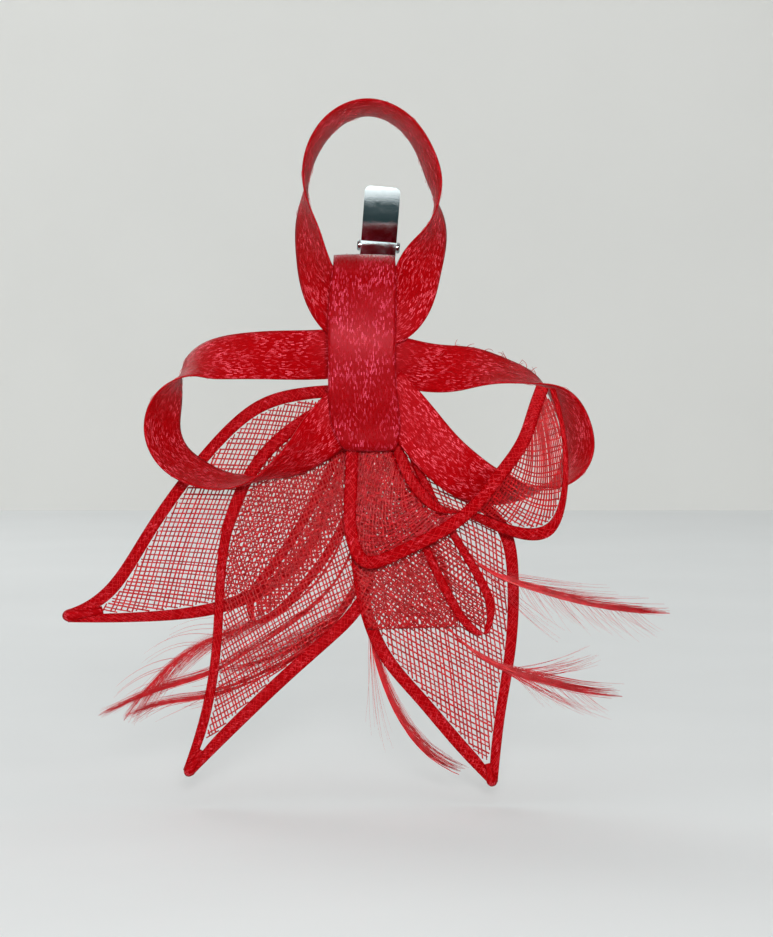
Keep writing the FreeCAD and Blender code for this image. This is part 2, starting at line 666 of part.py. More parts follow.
def tab_rims():
    """The rims bent back along the front tab's sides."""
    t = SHEET_STEEL
    low, high = PIN_HEIGHT + RIM_START, TAB_TOP - CORNER_RADIUS
    slope = math.tan(math.radians(TAB_FLARE))

    def inner_face(z):
        return -(PLATE_BACK + (z - PIN_HEIGHT - 1.0) * slope)

    points = [(inner_face(low) - t / 2, low), (inner_face(high) - t / 2, high),
              (inner_face(high) + TAB_RIM, high - 0.8), (inner_face(low) + TAB_RIM, low + 0.8)]
    half = CLIP_WIDTH / 2
    return [plate_in_x(points, x) for x in (-half, half - t)]


def make_jaw(side):
    half = CLIP_WIDTH / 2
    ear_half = half if side < 0 else half - SHEET_STEEL - EAR_CLEARANCE
    waist = CLIP_WIDTH if side < 0 else 2 * ear_half
    plate = bent_plate(side).common(plan_outline(CLIP_WIDTH, waist))
    extras = ears(side, ear_half) + toothed_rims(side)
    if side < 0:
        extras += tab_rims()
    jaw = plate.multiFuse(extras)
    hole = Part.makeCylinder(
        PIN_RADIUS + PIN_CLEARANCE, 2 * CLIP_WIDTH, Vector(-CLIP_WIDTH, 0, PIN_HEIGHT), Vector(1, 0, 0)
    )
    jaw = jaw.cut(hole).removeSplitter()
    return leaned(jaw)


def make_pin():
    half = CLIP_WIDTH / 2 + LAYER_GAP
    axis = Vector(1, 0, 0)
    pin = Part.makeCylinder(PIN_RADIUS, 2 * half, Vector(-half, 0, PIN_HEIGHT), axis)
    for start in (-half - PIN_HEAD_LENGTH, half):
        head = Part.makeCylinder(PIN_HEAD_RADIUS, PIN_HEAD_LENGTH, Vector(start, 0, PIN_HEIGHT), axis)
        outer_x = start if start < 0 else start + PIN_HEAD_LENGTH
        rim = [e for e in head.Edges if e.BoundBox.XLength < 0.01 and abs(e.BoundBox.XMin - outer_x) < 0.01]
        pin = pin.fuse(head.makeFillet(PIN_HEAD_LENGTH * 0.6, rim))
    return leaned(pin.removeSplitter())


def make_spring():
    """A torsion spring round the pin, with a leg against each tab."""
    wire = SPRING_WIRE / 2
    coil_radius = PIN_RADIUS + SPRING_CLEARANCE + wire
    pitch = SPRING_WIRE + 0.08
    length = (SPRING_TURNS + 0.5) * pitch
    coil = Part.makeHelix(pitch, length, coil_radius)
    coil.rotate(Vector(0, 0, 0), Vector(0, 0, 1), -90)
    coil.rotate(Vector(0, 0, 0), Vector(0, 1, 0), 90)
    coil.translate(Vector(-length / 2, 0, PIN_HEIGHT))
    knee = 1.2  # height above the pin at which a leg leans out with its tab
    away = (wire + SPRING_CLEARANCE) / math.cos(math.radians(TAB_FLARE))
    reach = PLATE_BACK + (SPRING_LEG - 1.0) * math.tan(math.radians(TAB_FLARE)) - away
    knee_reach = PLATE_BACK - wire - SPRING_CLEARANCE
    legs = []
    for side in (-1, 1):
        x = side * length / 2
        start = Vector(x, side * coil_radius, PIN_HEIGHT)
        bend = Vector(x, side * knee_reach, PIN_HEIGHT + knee)
        end = Vector(x, side * reach, PIN_HEIGHT + SPRING_LEG)
        legs.append((start, bend, end))
    (start, bend, end), (far_start, far_bend, far_end) = legs
    line = Part.Wire(
        [Part.makeLine(end, bend), Part.makeLine(bend, start)]
        + coil.Edges
        + [Part.makeLine(far_start, far_bend), Part.makeLine(far_bend, far_end)]
    )
    section = Part.Wire(Part.makeCircle(wire, end, bend - end))
    return leaned(line.makePipeShell([section], True, False))


# ---- glue and felt ---------------------------------------------------------------------------
def rounded_slab(centre_x, centre_z, width, length, middle_y, thickness, corner):
    slab = Part.makeBox(
        width, thickness, length,
        Vector(centre_x - width / 2, middle_y - thickness / 2, centre_z - length / 2),
    )
    corners = [e for e in slab.Edges if e.BoundBox.YLength > thickness / 2]
    return slab.makeFillet(corner, corners)


def make_glue():
    return leaned(rounded_slab(0, 0.5, GLUE_WIDTH, GLUE_LENGTH, GLUE_Y, GLUE_THICKNESS, GLUE_WIDTH / 3))


def make_pad():
    return rounded_slab(
        PAD_CENTRE_X, PAD_CENTRE_Z, PAD_WIDTH, PAD_LENGTH, PAD_Y, PAD_THICKNESS, PAD_WIDTH / 3
    )


def main():
    os.makedirs("parts", exist_ok=True)
    nodes = {}
    nodes["front_jaw"] = make_jaw(-1)
    nodes["rear_jaw"] = make_jaw(1)
    nodes["hinge_pin"] = make_pin()
    nodes["clip_spring"] = make_spring()
    nodes["glue_pad"] = make_glue()
    nodes["backing_pad"] = make_pad()
    nodes["top_loop"] = ribbon(TOP_LOOP, RIBBON_WIDTH, RIBBON_CUP)
    nodes["left_loop"] = ribbon(LEFT_LOOP, RIBBON_WIDTH, RIBBON_CUP)
    nodes["right_loop"] = ribbon(RIGHT_LOOP, RIBBON_WIDTH, RIBBON_CUP)
    nodes["centre_band"] = make_band()
    nodes["centre_puff"] = make_puff()
    for name, leaf_facts in LEAVES.items():
        leaf = Leaf(**leaf_facts)
        nodes[name + "_net"] = leaf.net()
        for side, tape in zip(leaf_facts["tapes"], leaf.tapes()):
            nodes[name + "_" + side + "_tape"] = tape
    for name, (line, vane, quill) in FEATHERS.items():
        nodes[name] = make_feather(line, vane, quill)
    nodes["binding_thread"] = make_thread()
    for name, shape in nodes.items():
        print(name, shape.ShapeType, len(shape.Solids), shape.isValid(), round(shape.Volume, 2))
        shape.exportStep(os.path.join("parts", name + ".step"))


main()
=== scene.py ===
import math

import bpy
import numpy as np
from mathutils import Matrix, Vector


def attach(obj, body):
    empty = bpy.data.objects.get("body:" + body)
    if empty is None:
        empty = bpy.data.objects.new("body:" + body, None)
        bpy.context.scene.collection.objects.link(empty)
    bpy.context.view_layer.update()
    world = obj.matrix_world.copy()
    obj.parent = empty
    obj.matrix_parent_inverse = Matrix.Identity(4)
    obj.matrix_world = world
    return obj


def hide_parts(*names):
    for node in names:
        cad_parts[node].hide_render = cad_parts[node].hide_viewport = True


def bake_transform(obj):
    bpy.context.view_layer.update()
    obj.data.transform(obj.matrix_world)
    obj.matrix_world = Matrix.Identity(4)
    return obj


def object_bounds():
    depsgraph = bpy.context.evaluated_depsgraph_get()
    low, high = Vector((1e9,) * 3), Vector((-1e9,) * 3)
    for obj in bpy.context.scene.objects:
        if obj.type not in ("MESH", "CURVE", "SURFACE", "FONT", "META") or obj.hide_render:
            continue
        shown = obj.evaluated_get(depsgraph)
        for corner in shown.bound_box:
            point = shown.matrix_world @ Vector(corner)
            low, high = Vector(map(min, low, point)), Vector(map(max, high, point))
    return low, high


# A flower hair clip: woven abaca loops, net leaves with folded tapes and dyed feathers, gathered
# under a centre band on a spring clip. Shapes are in millimetres and turned to metres by MM.
# X to the right of the flower, Z up, -Y towards the flower's face.

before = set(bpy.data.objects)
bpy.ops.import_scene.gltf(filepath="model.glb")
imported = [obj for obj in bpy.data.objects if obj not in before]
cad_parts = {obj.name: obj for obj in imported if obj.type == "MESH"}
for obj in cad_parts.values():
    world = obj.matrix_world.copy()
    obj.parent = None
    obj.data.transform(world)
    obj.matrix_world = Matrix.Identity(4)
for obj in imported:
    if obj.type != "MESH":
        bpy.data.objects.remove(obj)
cad_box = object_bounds()

MM = 0.001

# ---- the clip's sizes, which place the spring ----
SHEET_STEEL = 0.5
JAW_GAP = 3.4
PIN_HEIGHT = 19.7
PIN_RADIUS = 0.75
TAB_FLARE = math.radians(20.0)
CLIP_LEAN = math.radians(4.5)
SPRING_WIRE = 0.55
SPRING_TURNS = 4
SPRING_CLEARANCE = 0.12
SPRING_LEG = 7.5
SPRING_KNEE = 1.2  # above the pin, where the legs turn out along the tabs
TAB_START = 1.0  # above the pin, where the tabs turn out
TURN_GAP = 0.08

# ---- cloth ----
GLUE_THICKNESS = 0.6
PAD_THICKNESS = 1.2
RIBBON_WIDTH = 10.5
RIBBON_THICKNESS = 0.8
NET_THICKNESS = 0.35
TAPE_THICKNESS = 0.8
LAYER_GAP = 0.1
RIBBON_GAP = 0.35
TAPE_GAP = 0.1
QUILL_THICKNESS = 0.6
THREAD = 0.5
RIBBON_CUP = 0.5

# ---- the stack of layers under the band, from the clip towards the face ----
PLATE_BACK = JAW_GAP / 2
PLATE_FRONT = PLATE_BACK + SHEET_STEEL


class Stack:
    """Layers laid one on another towards the face, which is -Y."""

    def __init__(self, y):
        self.y = y

    def lay(self, thickness, gap=LAYER_GAP):
        """The middle of the next layer."""
        middle = self.y - gap - thickness / 2
        self.y = middle - thickness / 2
        return middle


glue_stack = Stack(-PLATE_FRONT)
glue_stack.lay(GLUE_THICKNESS, 0)
glue_stack.lay(PAD_THICKNESS, 0)

leaf_stack = Stack(glue_stack.y)  # below the loops: the leaves' roots
BACK_QUILL_Y = leaf_stack.lay(QUILL_THICKNESS)
LEFT_LEAF_Y = leaf_stack.lay(TAPE_THICKNESS)
LEFT_PETAL_Y = leaf_stack.lay(TAPE_THICKNESS)
LOWER_LEFT_Y = leaf_stack.lay(TAPE_THICKNESS)
LOWER_RIGHT_Y = leaf_stack.lay(TAPE_THICKNESS)
FRONT_QUILL_Y = leaf_stack.lay(QUILL_THICKNESS)
PUFF_BACK_Y = leaf_stack.lay(NET_THICKNESS)
PUFF_FRONT_Y = leaf_stack.lay(NET_THICKNESS)
RIGHT_PETAL_Y = leaf_stack.lay(TAPE_THICKNESS)
RIGHT_LEAF_Y = leaf_stack.lay(TAPE_THICKNESS, RIBBON_GAP)
BAND_TUCK_Y = leaf_stack.lay(RIBBON_THICKNESS, RIBBON_GAP)
LEFT_LOWER_Y = leaf_stack.lay(RIBBON_THICKNESS, RIBBON_GAP)
RIGHT_LOWER_Y = leaf_stack.lay(RIBBON_THICKNESS, RIBBON_GAP)
BAND_FRONT_Y = leaf_stack.lay(RIBBON_THICKNESS, RIBBON_GAP)

loop_stack = Stack(glue_stack.y)  # beside the clip: the loops' roots, tied with thread
BAND_BACK_Y = loop_stack.lay(RIBBON_THICKNESS)
loop_stack.lay(THREAD, RIBBON_GAP)
LEFT_UPPER_Y = loop_stack.lay(RIBBON_THICKNESS, RIBBON_GAP)
RIGHT_UPPER_Y = loop_stack.lay(RIBBON_THICKNESS, RIBBON_GAP)
TOP_LEFT_Y = loop_stack.lay(RIBBON_THICKNESS, RIBBON_GAP)
TOP_RIGHT_Y = loop_stack.lay(RIBBON_THICKNESS, RIBBON_GAP)

# ---- the three loops: (x, y, z, turn). A turn of 0 or -180 shows the ribbon's face, -90 its edge ----
LOOP_Y = -12.0
TOP_LOOP = [
    (3.0, TOP_LEFT_Y, 2.0, -180),
    (-1.0, TOP_LEFT_Y, 2.8, -180),
    (-5.0, TOP_LEFT_Y, 4.6, -176),
    (-9.2, -9.2, 9.4, -154),
    (-11.8, -10.6, 16.0, -132),
    (-13.2, -11.6, 24.0, -116),
    (-13.6, LOOP_Y, 31.3, -91),
    (-12.1, LOOP_Y, 39.1, -77),
    (-7.3, LOOP_Y, 45.7, -73),
    (-0.8, LOOP_Y, 48.2, -73),
    (6.2, LOOP_Y, 45.7, -73),
    (11.1, LOOP_Y, 39.1, -72),
    (13.3, LOOP_Y, 32.2, -76),
    (13.8, LOOP_Y, 27.2, -96),
    (13.0, -11.6, 22.2, -120),
    (10.3, -10.8, 15.6, -150),
    (8.2, -9.9, 9.2, -166),
    (4.9, TOP_RIGHT_Y, 4.8, -178),
    (0.6, TOP_RIGHT_Y, 2.9, -180),
    (-3.0, TOP_RIGHT_Y, 2.0, -180),
]
LEFT_LOOP = [
    (3.0, LEFT_UPPER_Y, -3.0, 0),
    (-2.0, LEFT_UPPER_Y, -3.0, 0),
    (-7.0, LEFT_UPPER_Y - 0.15, -3.0, 0),
    (-13.0, -7.4, -3.2, -6),
    (-19.5, -9.0, -3.2, -14),
    (-27.0, -10.6, -3.4, -26),
    (-33.0, -11.6, -4.1, -40),
    (-37.6, -12.2, -5.8, -66),
    (-40.6, -12.6, -9.0, -100),
    (-43.0, -12.8, -13.8, -126),
    (-43.7, -13.0, -18.9, -132),
    (-41.4, -13.2, -24.3, -128),
    (-36.8, -13.4, -27.7, -120),
    (-32.0, -13.6, -29.4, -110),
    (-26.0, -13.7, -29.4, -94),
    (-19.0, -13.8, -27.1, -64),
    (-12.8, -13.8, -22.5, -34),
    (-7.0, LEFT_LOWER_Y, -16.2, 0),
    (-3.0, LEFT_LOWER_Y, -12.4, 0),
    (0.5, LEFT_LOWER_Y, -9.3, 0),
]
RIGHT_LOOP = [
    (-3.0, RIGHT_UPPER_Y, -2.6, -180),
    (1.0, RIGHT_UPPER_Y, -3.4, -180),
    (5.5, RIGHT_UPPER_Y, -4.5, -178),
    (11.0, -8.3, -5.7, -168),
    (16.0, -9.2, -6.1, -158),
    (21.2, -10.2, -6.0, -142),
    (27.2, -11.0, -6.6, -120),
    (34.4, -11.7, -8.6, -98),
    (39.6, -12.0, -12.2, -66),
    (42.7, -12.0, -18.0, -56),
    (43.2, -12.0, -23.2, -56),
    (41.1, -12.0, -27.6, -68),
    (37.4, -12.0, -30.5, -90),
    (33.4, -12.4, -31.5, -106),
    (28.0, -13.4, -31.4, -127),
    (22.8, -14.8, -29.8, -150),
    (17.6, -15.2, -26.6, -172),
    (12.8, -15.0, -21.9, -179),
    (8.6, RIGHT_LOWER_Y, -16.8, -180),
    (5.4, RIGHT_LOWER_Y, -13.1, -180),
    (2.5, RIGHT_LOWER_Y, -9.8, -180),
]

# ---- the centre band: (y, z, left x, right x) from the back, over the top, down and under ----
BAND_LINE = [
    (BAND_BACK_Y, -6.0, -7.0, 4.8),
    (BAND_BACK_Y, 0.0, -7.1, 4.8),
    (BAND_BACK_Y, 6.0, -7.3, 4.8),
    (BAND_BACK_Y - 0.2, 11.5, -7.5, 4.9),
    (-6.6, 15.9, -7.8, 4.9),
    (-10.4, 17.6, -7.8, 4.9),
    (-14.1, 15.4, -7.9, 5.2),
    (-16.3, 9.0, -8.8, 5.4),
    (-17.5, 1.0, -9.0, 5.3),
    (-17.5, -7.0, -8.9, 5.3),
    (BAND_FRONT_Y - 0.7, -14.0, -8.7, 5.9),
    (BAND_FRONT_Y, -19.8, -7.4, 6.0),
    (BAND_FRONT_Y + 0.8, -22.7, -5.6, 5.0),
    (BAND_TUCK_Y - 0.9, -22.7, -4.8, 4.4),
    (BAND_TUCK_Y, -20.4, -4.6, 4.4),
    (BAND_TUCK_Y, -16.0, -5.6, 4.8),
    (BAND_TUCK_Y, -12.5, -5.6, 4.8),
]

# ---- leaves and petals: the two edges' points, root first, with as many points each ----
LEAF_TAPE = 2.7
PETAL_TAPE = 1.9
LEAVES = {
    "left_leaf": {
        "tapes": ("upper", "lower"),
        "tape": LEAF_TAPE,
        "edges": (
            [(-4, LEFT_LEAF_Y, -9.8), (-15, -5.3, -10.2), (-25.2, -5.2, -13.6), (-35.6, -5.1, -23.4),
             (-47.4, -4.9, -39.2), (-55.8, -4.8, -51.7), (-64.3, -4.8, -57.2)],
            [(-4, LEFT_LEAF_Y, -18), (-7.5, -5.3, -33.5), (-14, -5.3, -47), (-23, -5.2, -54.5),
             (-35, -5.1, -58.6), (-48.5, -4.8, -59.8), (-64.3, -4.8, -59.9)],
        ),
    },
    "left_petal": {
        "tapes": ("left", "right"),
        "tape": PETAL_TAPE,
        "edges": (
            [(-4, LEFT_PETAL_Y, -12), (-9.5, -6.1, -27), (-16.5, -6.1, -40), (-22.5, -6.1, -48.5),
             (-26.4, -6.1, -55), (-25.6, -6.1, -59.4)],
            [(1, LEFT_PETAL_Y, -13), (-2, -6.1, -31), (-8, -6.1, -45), (-14.4, -6.1, -53.5),
             (-19.6, -6.1, -58.4), (-23.4, -6.1, -60.2)],
        ),
    },
    "lower_left_leaf": {
        "tapes": ("outer", "inner"),
        "tape": LEAF_TAPE,
        "edges": (
            [(-4, LOWER_LEFT_Y, -11), (-15, -7.1, -16), (-25.5, -7.0, -26), (-31, -7.0, -38),
             (-33, -7.2, -54.5), (-34.5, -7.3, -71.5), (-39.8, -7.3, -91)],
            [(-0.5, LOWER_LEFT_Y, -18), (1, -7.0, -38), (-0.6, -7.0, -55), (-7, -7.2, -63),
             (-16.5, -7.3, -71.5), (-26.5, -7.3, -81), (-37.4, -7.3, -91.8)],
        ),
    },
    "lower_right_leaf": {
        "tapes": ("inner", "outer"),
        "tape": LEAF_TAPE,
        "bow": 0.4,
        "edges": (
            [(-3, LOWER_RIGHT_Y, -13), (-4, -8.05, -33.5), (-4, -8.05, -48.5), (0, -8.0, -64),
             (8.7, -7.8, -75.8), (17.2, -7.7, -85.8), (24.4, -7.6, -93.4)],
            [(3, LOWER_RIGHT_Y, -12), (14.5, -7.9, -27.5), (27.5, -7.8, -37), (31.1, -7.7, -48.5),
             (30.6, -7.7, -65), (28.4, -7.7, -79), (26.8, -7.6, -93.6)],
        ),
    },
    "right_petal": {
        "tapes": ("left", "right"),
        "tape": PETAL_TAPE,
        "edges": (
            [(0, RIGHT_PETAL_Y, -13), (6.2, -11.3, -33.5), (11.6, -11.6, -46), (16, -11.6, -55),
             (19.6, -11.6, -60.3), (22.4, -11.6, -62.2)],
            [(5.5, RIGHT_PETAL_Y, -13), (13.8, -11.3, -33), (20.6, -11.6, -44.5), (24.6, -11.6, -51.5),
             (26, -11.6, -57), (24.8, -11.6, -61.6)],
        ),
    },
    "right_leaf": {
        "tapes": ("front", "back"),
        "tape": LEAF_TAPE,
        "set_back": 1.1,
        "edges": (
            [(-3.6, RIGHT_LEAF_Y, -13), (-4.2, -12.2, -31), (-4, -13.4, -41), (-1.2, -14.6, -46.2),
             (6, -16, -44.2), (16, -18.2, -38.8), (21.8, -19.4, -34), (26.5, -20.3, -28.1),
             (31.3, -20.8, -21.2), (33.6, -20.7, -15), (35.5, -20, -9.6)],
            [(4, RIGHT_LEAF_Y, -13), (6, -11.65, -20), (7.6, -12.05, -25), (9.4, -12.5, -28.6),
             (11.8, -12.7, -31.6), (15, -12.8, -34.6), (20, -13.2, -36.9), (27.5, -14.8, -40.3),
             (37.4, -17.8, -40.6), (40.8, -19.8, -31), (38.2, -20, -9.9)],
        ),
    },
}

# ---- the puff: left edge, right edge of a net folded in two at its lower end ----
PUFF_LEFT = [(-3.0, -14.0), (-3.6, -33.0), (-3.4, -48.0), (-1.0, -59.5)]
PUFF_RIGHT = [(3.5, -14.0), (10.5, -33.0), (16.0, -48.0), (18.6, -59.0)]
PUFF_FOLD = 1.6  # how far the fold hangs below the two edges

# ---- feathers: centre line from the quill ----
FEATHERS = {
    "right_feather_upper": [
        (1.5, FRONT_QUILL_Y, -13), (12.5, -8.7, -33.5), (26, -8.7, -49.5), (33.5, -9.2, -52.5),
        (42, -9.6, -55), (52.5, -9.6, -57), (63, -9.4, -57.6)],
    "right_feather_lower": [
        (-1.2, FRONT_QUILL_Y, -13), (4, -8.7, -40), (10, -8.7, -52), (17, -8.7, -61.5),
        (27.5, -9.1, -69.5), (36, -9.5, -72.2), (46.5, -9.5, -74.5), (53, -9.4, -75.2)],
    "bottom_feather": [
        (2.5, BACK_QUILL_Y, -13), (0.5, -4.3, -42), (-0.2, -4.3, -62), (3, -4.3, -74.5),
        (7, -4.3, -82.5), (12.7, -4.2, -89), (18.7, -4.2, -92.5)],
    "left_feather_first": [
        (-3.2, BACK_QUILL_Y, -12), (-3.8, BACK_QUILL_Y, -24), (-6.6, -3.9, -43), (-16, -3.8, -55.5),
        (-28.5, -3.8, -61.5), (-40, -3.8, -67), (-48.5, -3.8, -75.5), (-52.6, -3.8, -81)],
    "left_feather_second": [
        (-2.1, BACK_QUILL_Y, -12), (-2.5, BACK_QUILL_Y, -24), (-4.7, -3.2, -46), (-15, -3.1, -59),
        (-25.5, -3.1, -66), (-35, -3.1, -71.5), (-46.5, -3.1, -75), (-58, -3.1, -80)],
    "left_feather_third": [
        (-1.0, BACK_QUILL_Y, -12), (-1.2, BACK_QUILL_Y, -23), (-1.8, -3.1, -38), (-4, -2.45, -53),
        (-13, -2.4, -65.5), (-24.5, -2.4, -72.5), (-36, -2.4, -76.5), (-46.5, -2.4, -78),
        (-52.5, -2.4, -80.2)],
    "left_feather_fourth": [
        (0.1, BACK_QUILL_Y, -12), (0.1, BACK_QUILL_Y, -22), (-0.1, -2.6, -36), (-1.9, -1.7, -50),
        (-8, -1.6, -60.5), (-16, -1.6, -65.5), (-24, -1.6, -68.8), (-34, -1.6, -70.8)],
}


# ---- colours ----
def linear(code):
    """An sRGB hex colour as linear RGBA."""
    values = [int(code[i:i + 2], 16) / 255 for i in (1, 3, 5)]
    return tuple(v / 12.92 if v <= 0.04045 else ((v + 0.055) / 1.055) ** 2.4 for v in values) + (1.0,)


# ---- nodes and materials ----
PINK_SHEEN = "#FF9AA2"
DYED_SHINE = "#FF7C8C"  # the shine of a dyed fibre takes its colour


def add(tree, kind, sockets=None, stops=None, span=(), **settings):
    """Adds a node, sets it, its sockets and its colour stops, and links sockets given as outputs. span
    gives the two ends that a range is mapped from, and the two that it is mapped to."""
    node = tree.nodes.new(kind)
    for name, value in settings.items():
        setattr(node, name, value)
    for number, (place, colour) in enumerate(stops or ()):
        elements = node.color_ramp.elements
        element = elements[number] if number < len(elements) else elements.new(place)
        element.position, element.color = place, linear(colour)
    ends = dict(zip(("From Min", "From Max", "To Min", "To Max"), span))
    for name, value in {**(sockets or {}), **ends}.items():
        socket = node.inputs[name]
        if isinstance(value, bpy.types.NodeSocket):
            tree.links.new(value, socket)
        else:
            socket.default_value = value
    return node


def new_material(name, shader_sockets):
    """A material with one Principled shader, and its node tree."""
    material = bpy.data.materials.new(name)
    material.use_nodes = True
    tree = material.node_tree
    shader = next(n for n in tree.nodes if n.type == "BSDF_PRINCIPLED")
    for socket, value in shader_sockets.items():
        shader.inputs[socket].default_value = value
    return material, tree, shader


def woven_abaca(name, row, stitch, colours, roughness, gloss, turned=0.0):
    """Abaca cloth: rows of flat silky fibres. Each fibre lies up for one stitch and then dips under, so
    that it shows as short dashes in the relief, and as bright dashes over a deeper red, which are
    painted glints. A real row is 0.2 mm: it is drawn at row."""
    material, tree, shader = new_material(
        name, {"Specular IOR Level": gloss, "Specular Tint": linear(DYED_SHINE)})
    place = add(tree, "ShaderNodeUVMap", uv_map="cloth").outputs["UV"]
    wobble = add(tree, "ShaderNodeTexNoise", {"Vector": place, "Scale": 0.7, "Detail": 2.0})
    drift = add(tree, "ShaderNodeVectorMath", {0: wobble.outputs["Color"], 1: (0.5, 0.5, 0.5)},
                operation="SUBTRACT")
    strength = add(tree, "ShaderNodeVectorMath", {0: drift.outputs[0], "Scale": row * 2.2},
                   operation="SCALE")
    moved = add(tree, "ShaderNodeVectorMath", {0: place, 1: strength.outputs[0]}, operation="ADD")
    laid = add(tree, "ShaderNodeMapping", {"Vector": moved.outputs[0], "Rotation": (0, 0, turned)})
    weave = add(tree, "ShaderNodeTexBrick", {
        "Vector": laid.outputs[0], "Scale": 1.0, "Mortar Size": row * 0.2, "Mortar Smooth": 1.0,
        "Bias": 0.0, "Brick Width": stitch, "Row Height": row,
        "Color1": (0.0, 0.0, 0.0, 1.0), "Color2": (1.0, 1.0, 1.0, 1.0), "Mortar": (0.0, 0.0, 0.0, 1.0)},
        offset=0.5)
    dashes = add(tree, "ShaderNodeMapRange", {"Value": weave.outputs["Color"]},
                 span=(0.5, 0.95, 0.0, 1.0))
    # the fluffed places, some 6 mm across, where more of the dashes stand up and catch the light:
    # painted glints, drawn as lighter dashes in the base colour and with a lower roughness
    fluffed = add(tree, "ShaderNodeTexNoise", {"Vector": place, "Scale": 0.16, "Detail": 2.0})
    patches = add(tree, "ShaderNodeMapRange", {"Value": fluffed.outputs["Fac"]},
                  span=(0.38, 0.62, 0.15, 0.7))
    painted_glints = add(tree, "ShaderNodeMath", {0: dashes.outputs[0], 1: patches.outputs[0]},
              operation="MULTIPLY")
    stretched = add(tree, "ShaderNodeMapping", {"Vector": laid.outputs[0], "Scale": (0.5, 4.0, 1.0)})
    fibre = add(tree, "ShaderNodeTexNoise",
                {"Vector": stretched.outputs[0], "Scale": 2.4, "Detail": 4.0, "Roughness": 0.65})
    tone = add(tree, "ShaderNodeMath", {0: fibre.outputs["Fac"], 1: 0.66, 2: painted_glints.outputs[0]},
               operation="MULTIPLY_ADD")
    dark, body, light = colours
    colour = add(tree, "ShaderNodeValToRGB", {"Fac": tone.outputs[0]},
                 stops=[(0.2, dark), (0.46, body), (1.0, light)])
    tree.links.new(colour.outputs["Color"], shader.inputs["Base Color"])
    sheen = add(tree, "ShaderNodeMapRange", {"Value": painted_glints.outputs[0]},
                span=(0.0, 0.5, roughness, roughness - 0.1))
    tree.links.new(sheen.outputs[0], shader.inputs["Roughness"])
    gaps = add(tree, "ShaderNodeMath", {0: 1.0, 1: weave.outputs["Fac"]}, operation="SUBTRACT")
    height = add(tree, "ShaderNodeMath", {0: gaps.outputs[0], 1: fibre.outputs["Fac"]},
                 operation="ADD")
    bump = add(tree, "ShaderNodeBump", {"Height": height.outputs[0], "Strength": 0.6,
                                        "Distance": 0.06 * MM})
    tree.links.new(bump.outputs["Normal"], shader.inputs["Normal"])
    return material


def noisy(name, shader_sockets, texture, stops=None, bump=None):
    """A material with one noise over the piece, which gives its colour and its relief: bump is the
    strength and the depth in mm."""
    material, tree, shader = new_material(name, shader_sockets)
    place = add(tree, "ShaderNodeTexCoord").outputs["Object"]
    noise = add(tree, "ShaderNodeTexNoise", {"Vector": place, **texture}).outputs["Fac"]
    if stops:
        colour = add(tree, "ShaderNodeValToRGB", {"Fac": noise}, stops=stops)
        tree.links.new(colour.outputs["Color"], shader.inputs["Base Color"])
    if bump:
        relief = add(tree, "ShaderNodeBump", {"Height": noise, "Strength": bump[0],
                                              "Distance": bump[1] * MM})
        tree.links.new(relief.outputs["Normal"], shader.inputs["Normal"])
    return material


def dyed_fibre(name, dark, light, roughness, spacing, gloss=0.4):
    """A single dyed fibre, thread or barb: streaked along its length, with a soft silky gloss."""
    return noisy(name, {"Roughness": roughness, "Specular IOR Level": gloss, "Sheen Weight": 0.02,
                        "Sheen Tint": linear(PINK_SHEEN)},
                 {"Scale": 1.0 / (spacing * MM), "Detail": 3.0, "Roughness": 0.6},
                 [(0.3, dark), (0.7, light)], (0.25, 0.05))


def nickel_plated_steel():
    """Bright nickel over pressed steel: a mirror with fine scratches and dull specks, which the press
    has left a little crowned, so that each tab shows a painted reflection: white at its top and a dark
    room below, painted on the table and the world for glossy rays."""
    material, tree, shader = new_material(
        "nickel_plated_steel", {"Metallic": 1.0, "Roughness": 0.1, "Base Color": linear("#A8B2B4")})
    place = add(tree, "ShaderNodeTexCoord").outputs["Object"]
    smear = add(tree, "ShaderNodeTexNoise", {"Vector": place, "Scale": 420.0, "Detail": 6.0})
    rough = add(tree, "ShaderNodeMapRange", {"Value": smear.outputs["Fac"]},
                span=(0.35, 0.75, 0.05, 0.26))
    tree.links.new(rough.outputs[0], shader.inputs["Roughness"])
    # the crown: a dome over each tab, 1 at the tab's middle and 0 at its ends
    split = add(tree, "ShaderNodeSeparateXYZ", {"Vector": place})
    up = add(tree, "ShaderNodeMapRange", {"Value": split.outputs["Z"]},
             span=((PIN_HEIGHT - 4.0) * MM, (PIN_HEIGHT + 14.0) * MM, -1.5, 1.5))
    crown = add(tree, "ShaderNodeMath", {0: up.outputs[0], 1: up.outputs[0]}, operation="MULTIPLY")
    scratch = add(tree, "ShaderNodeTexNoise", {"Vector": place, "Scale": 2600.0, "Detail": 3.0})
    height = add(tree, "ShaderNodeMath", {0: scratch.outputs["Fac"], 1: 0.02}, operation="MULTIPLY")
    shape = add(tree, "ShaderNodeMath", {0: height.outputs[0], 1: crown.outputs[0]},
                operation="SUBTRACT")
    bump = add(tree, "ShaderNodeBump", {"Height": shape.outputs[0], "Strength": 1.0,
                                        "Distance": 0.6 * MM})
    tree.links.new(bump.outputs["Normal"], shader.inputs["Normal"])
    return material


# Drawn steel wire: grey, half bright, with draw marks along it.
DRAWN_WIRE = noisy(
    "drawn_spring_wire", {"Metallic": 1.0, "Roughness": 0.32, "Base Color": linear("#A9ABAD")},
    {"Scale": 3000.0, "Detail": 3.0}, None, (0.15, 0.02))
# Hot-melt glue: cloudy, cream and waxy.
MELTED_GLUE = noisy(
    "hot_melt_glue", {"Roughness": 0.3, "Transmission Weight": 0.25, "IOR": 1.48,
                      "Subsurface Weight": 0.3, "Subsurface Scale": 0.002},
    {"Scale": 300.0, "Detail": 4.0}, [(0.3, "#DCCFB0"), (0.7, "#F1E9D4")])
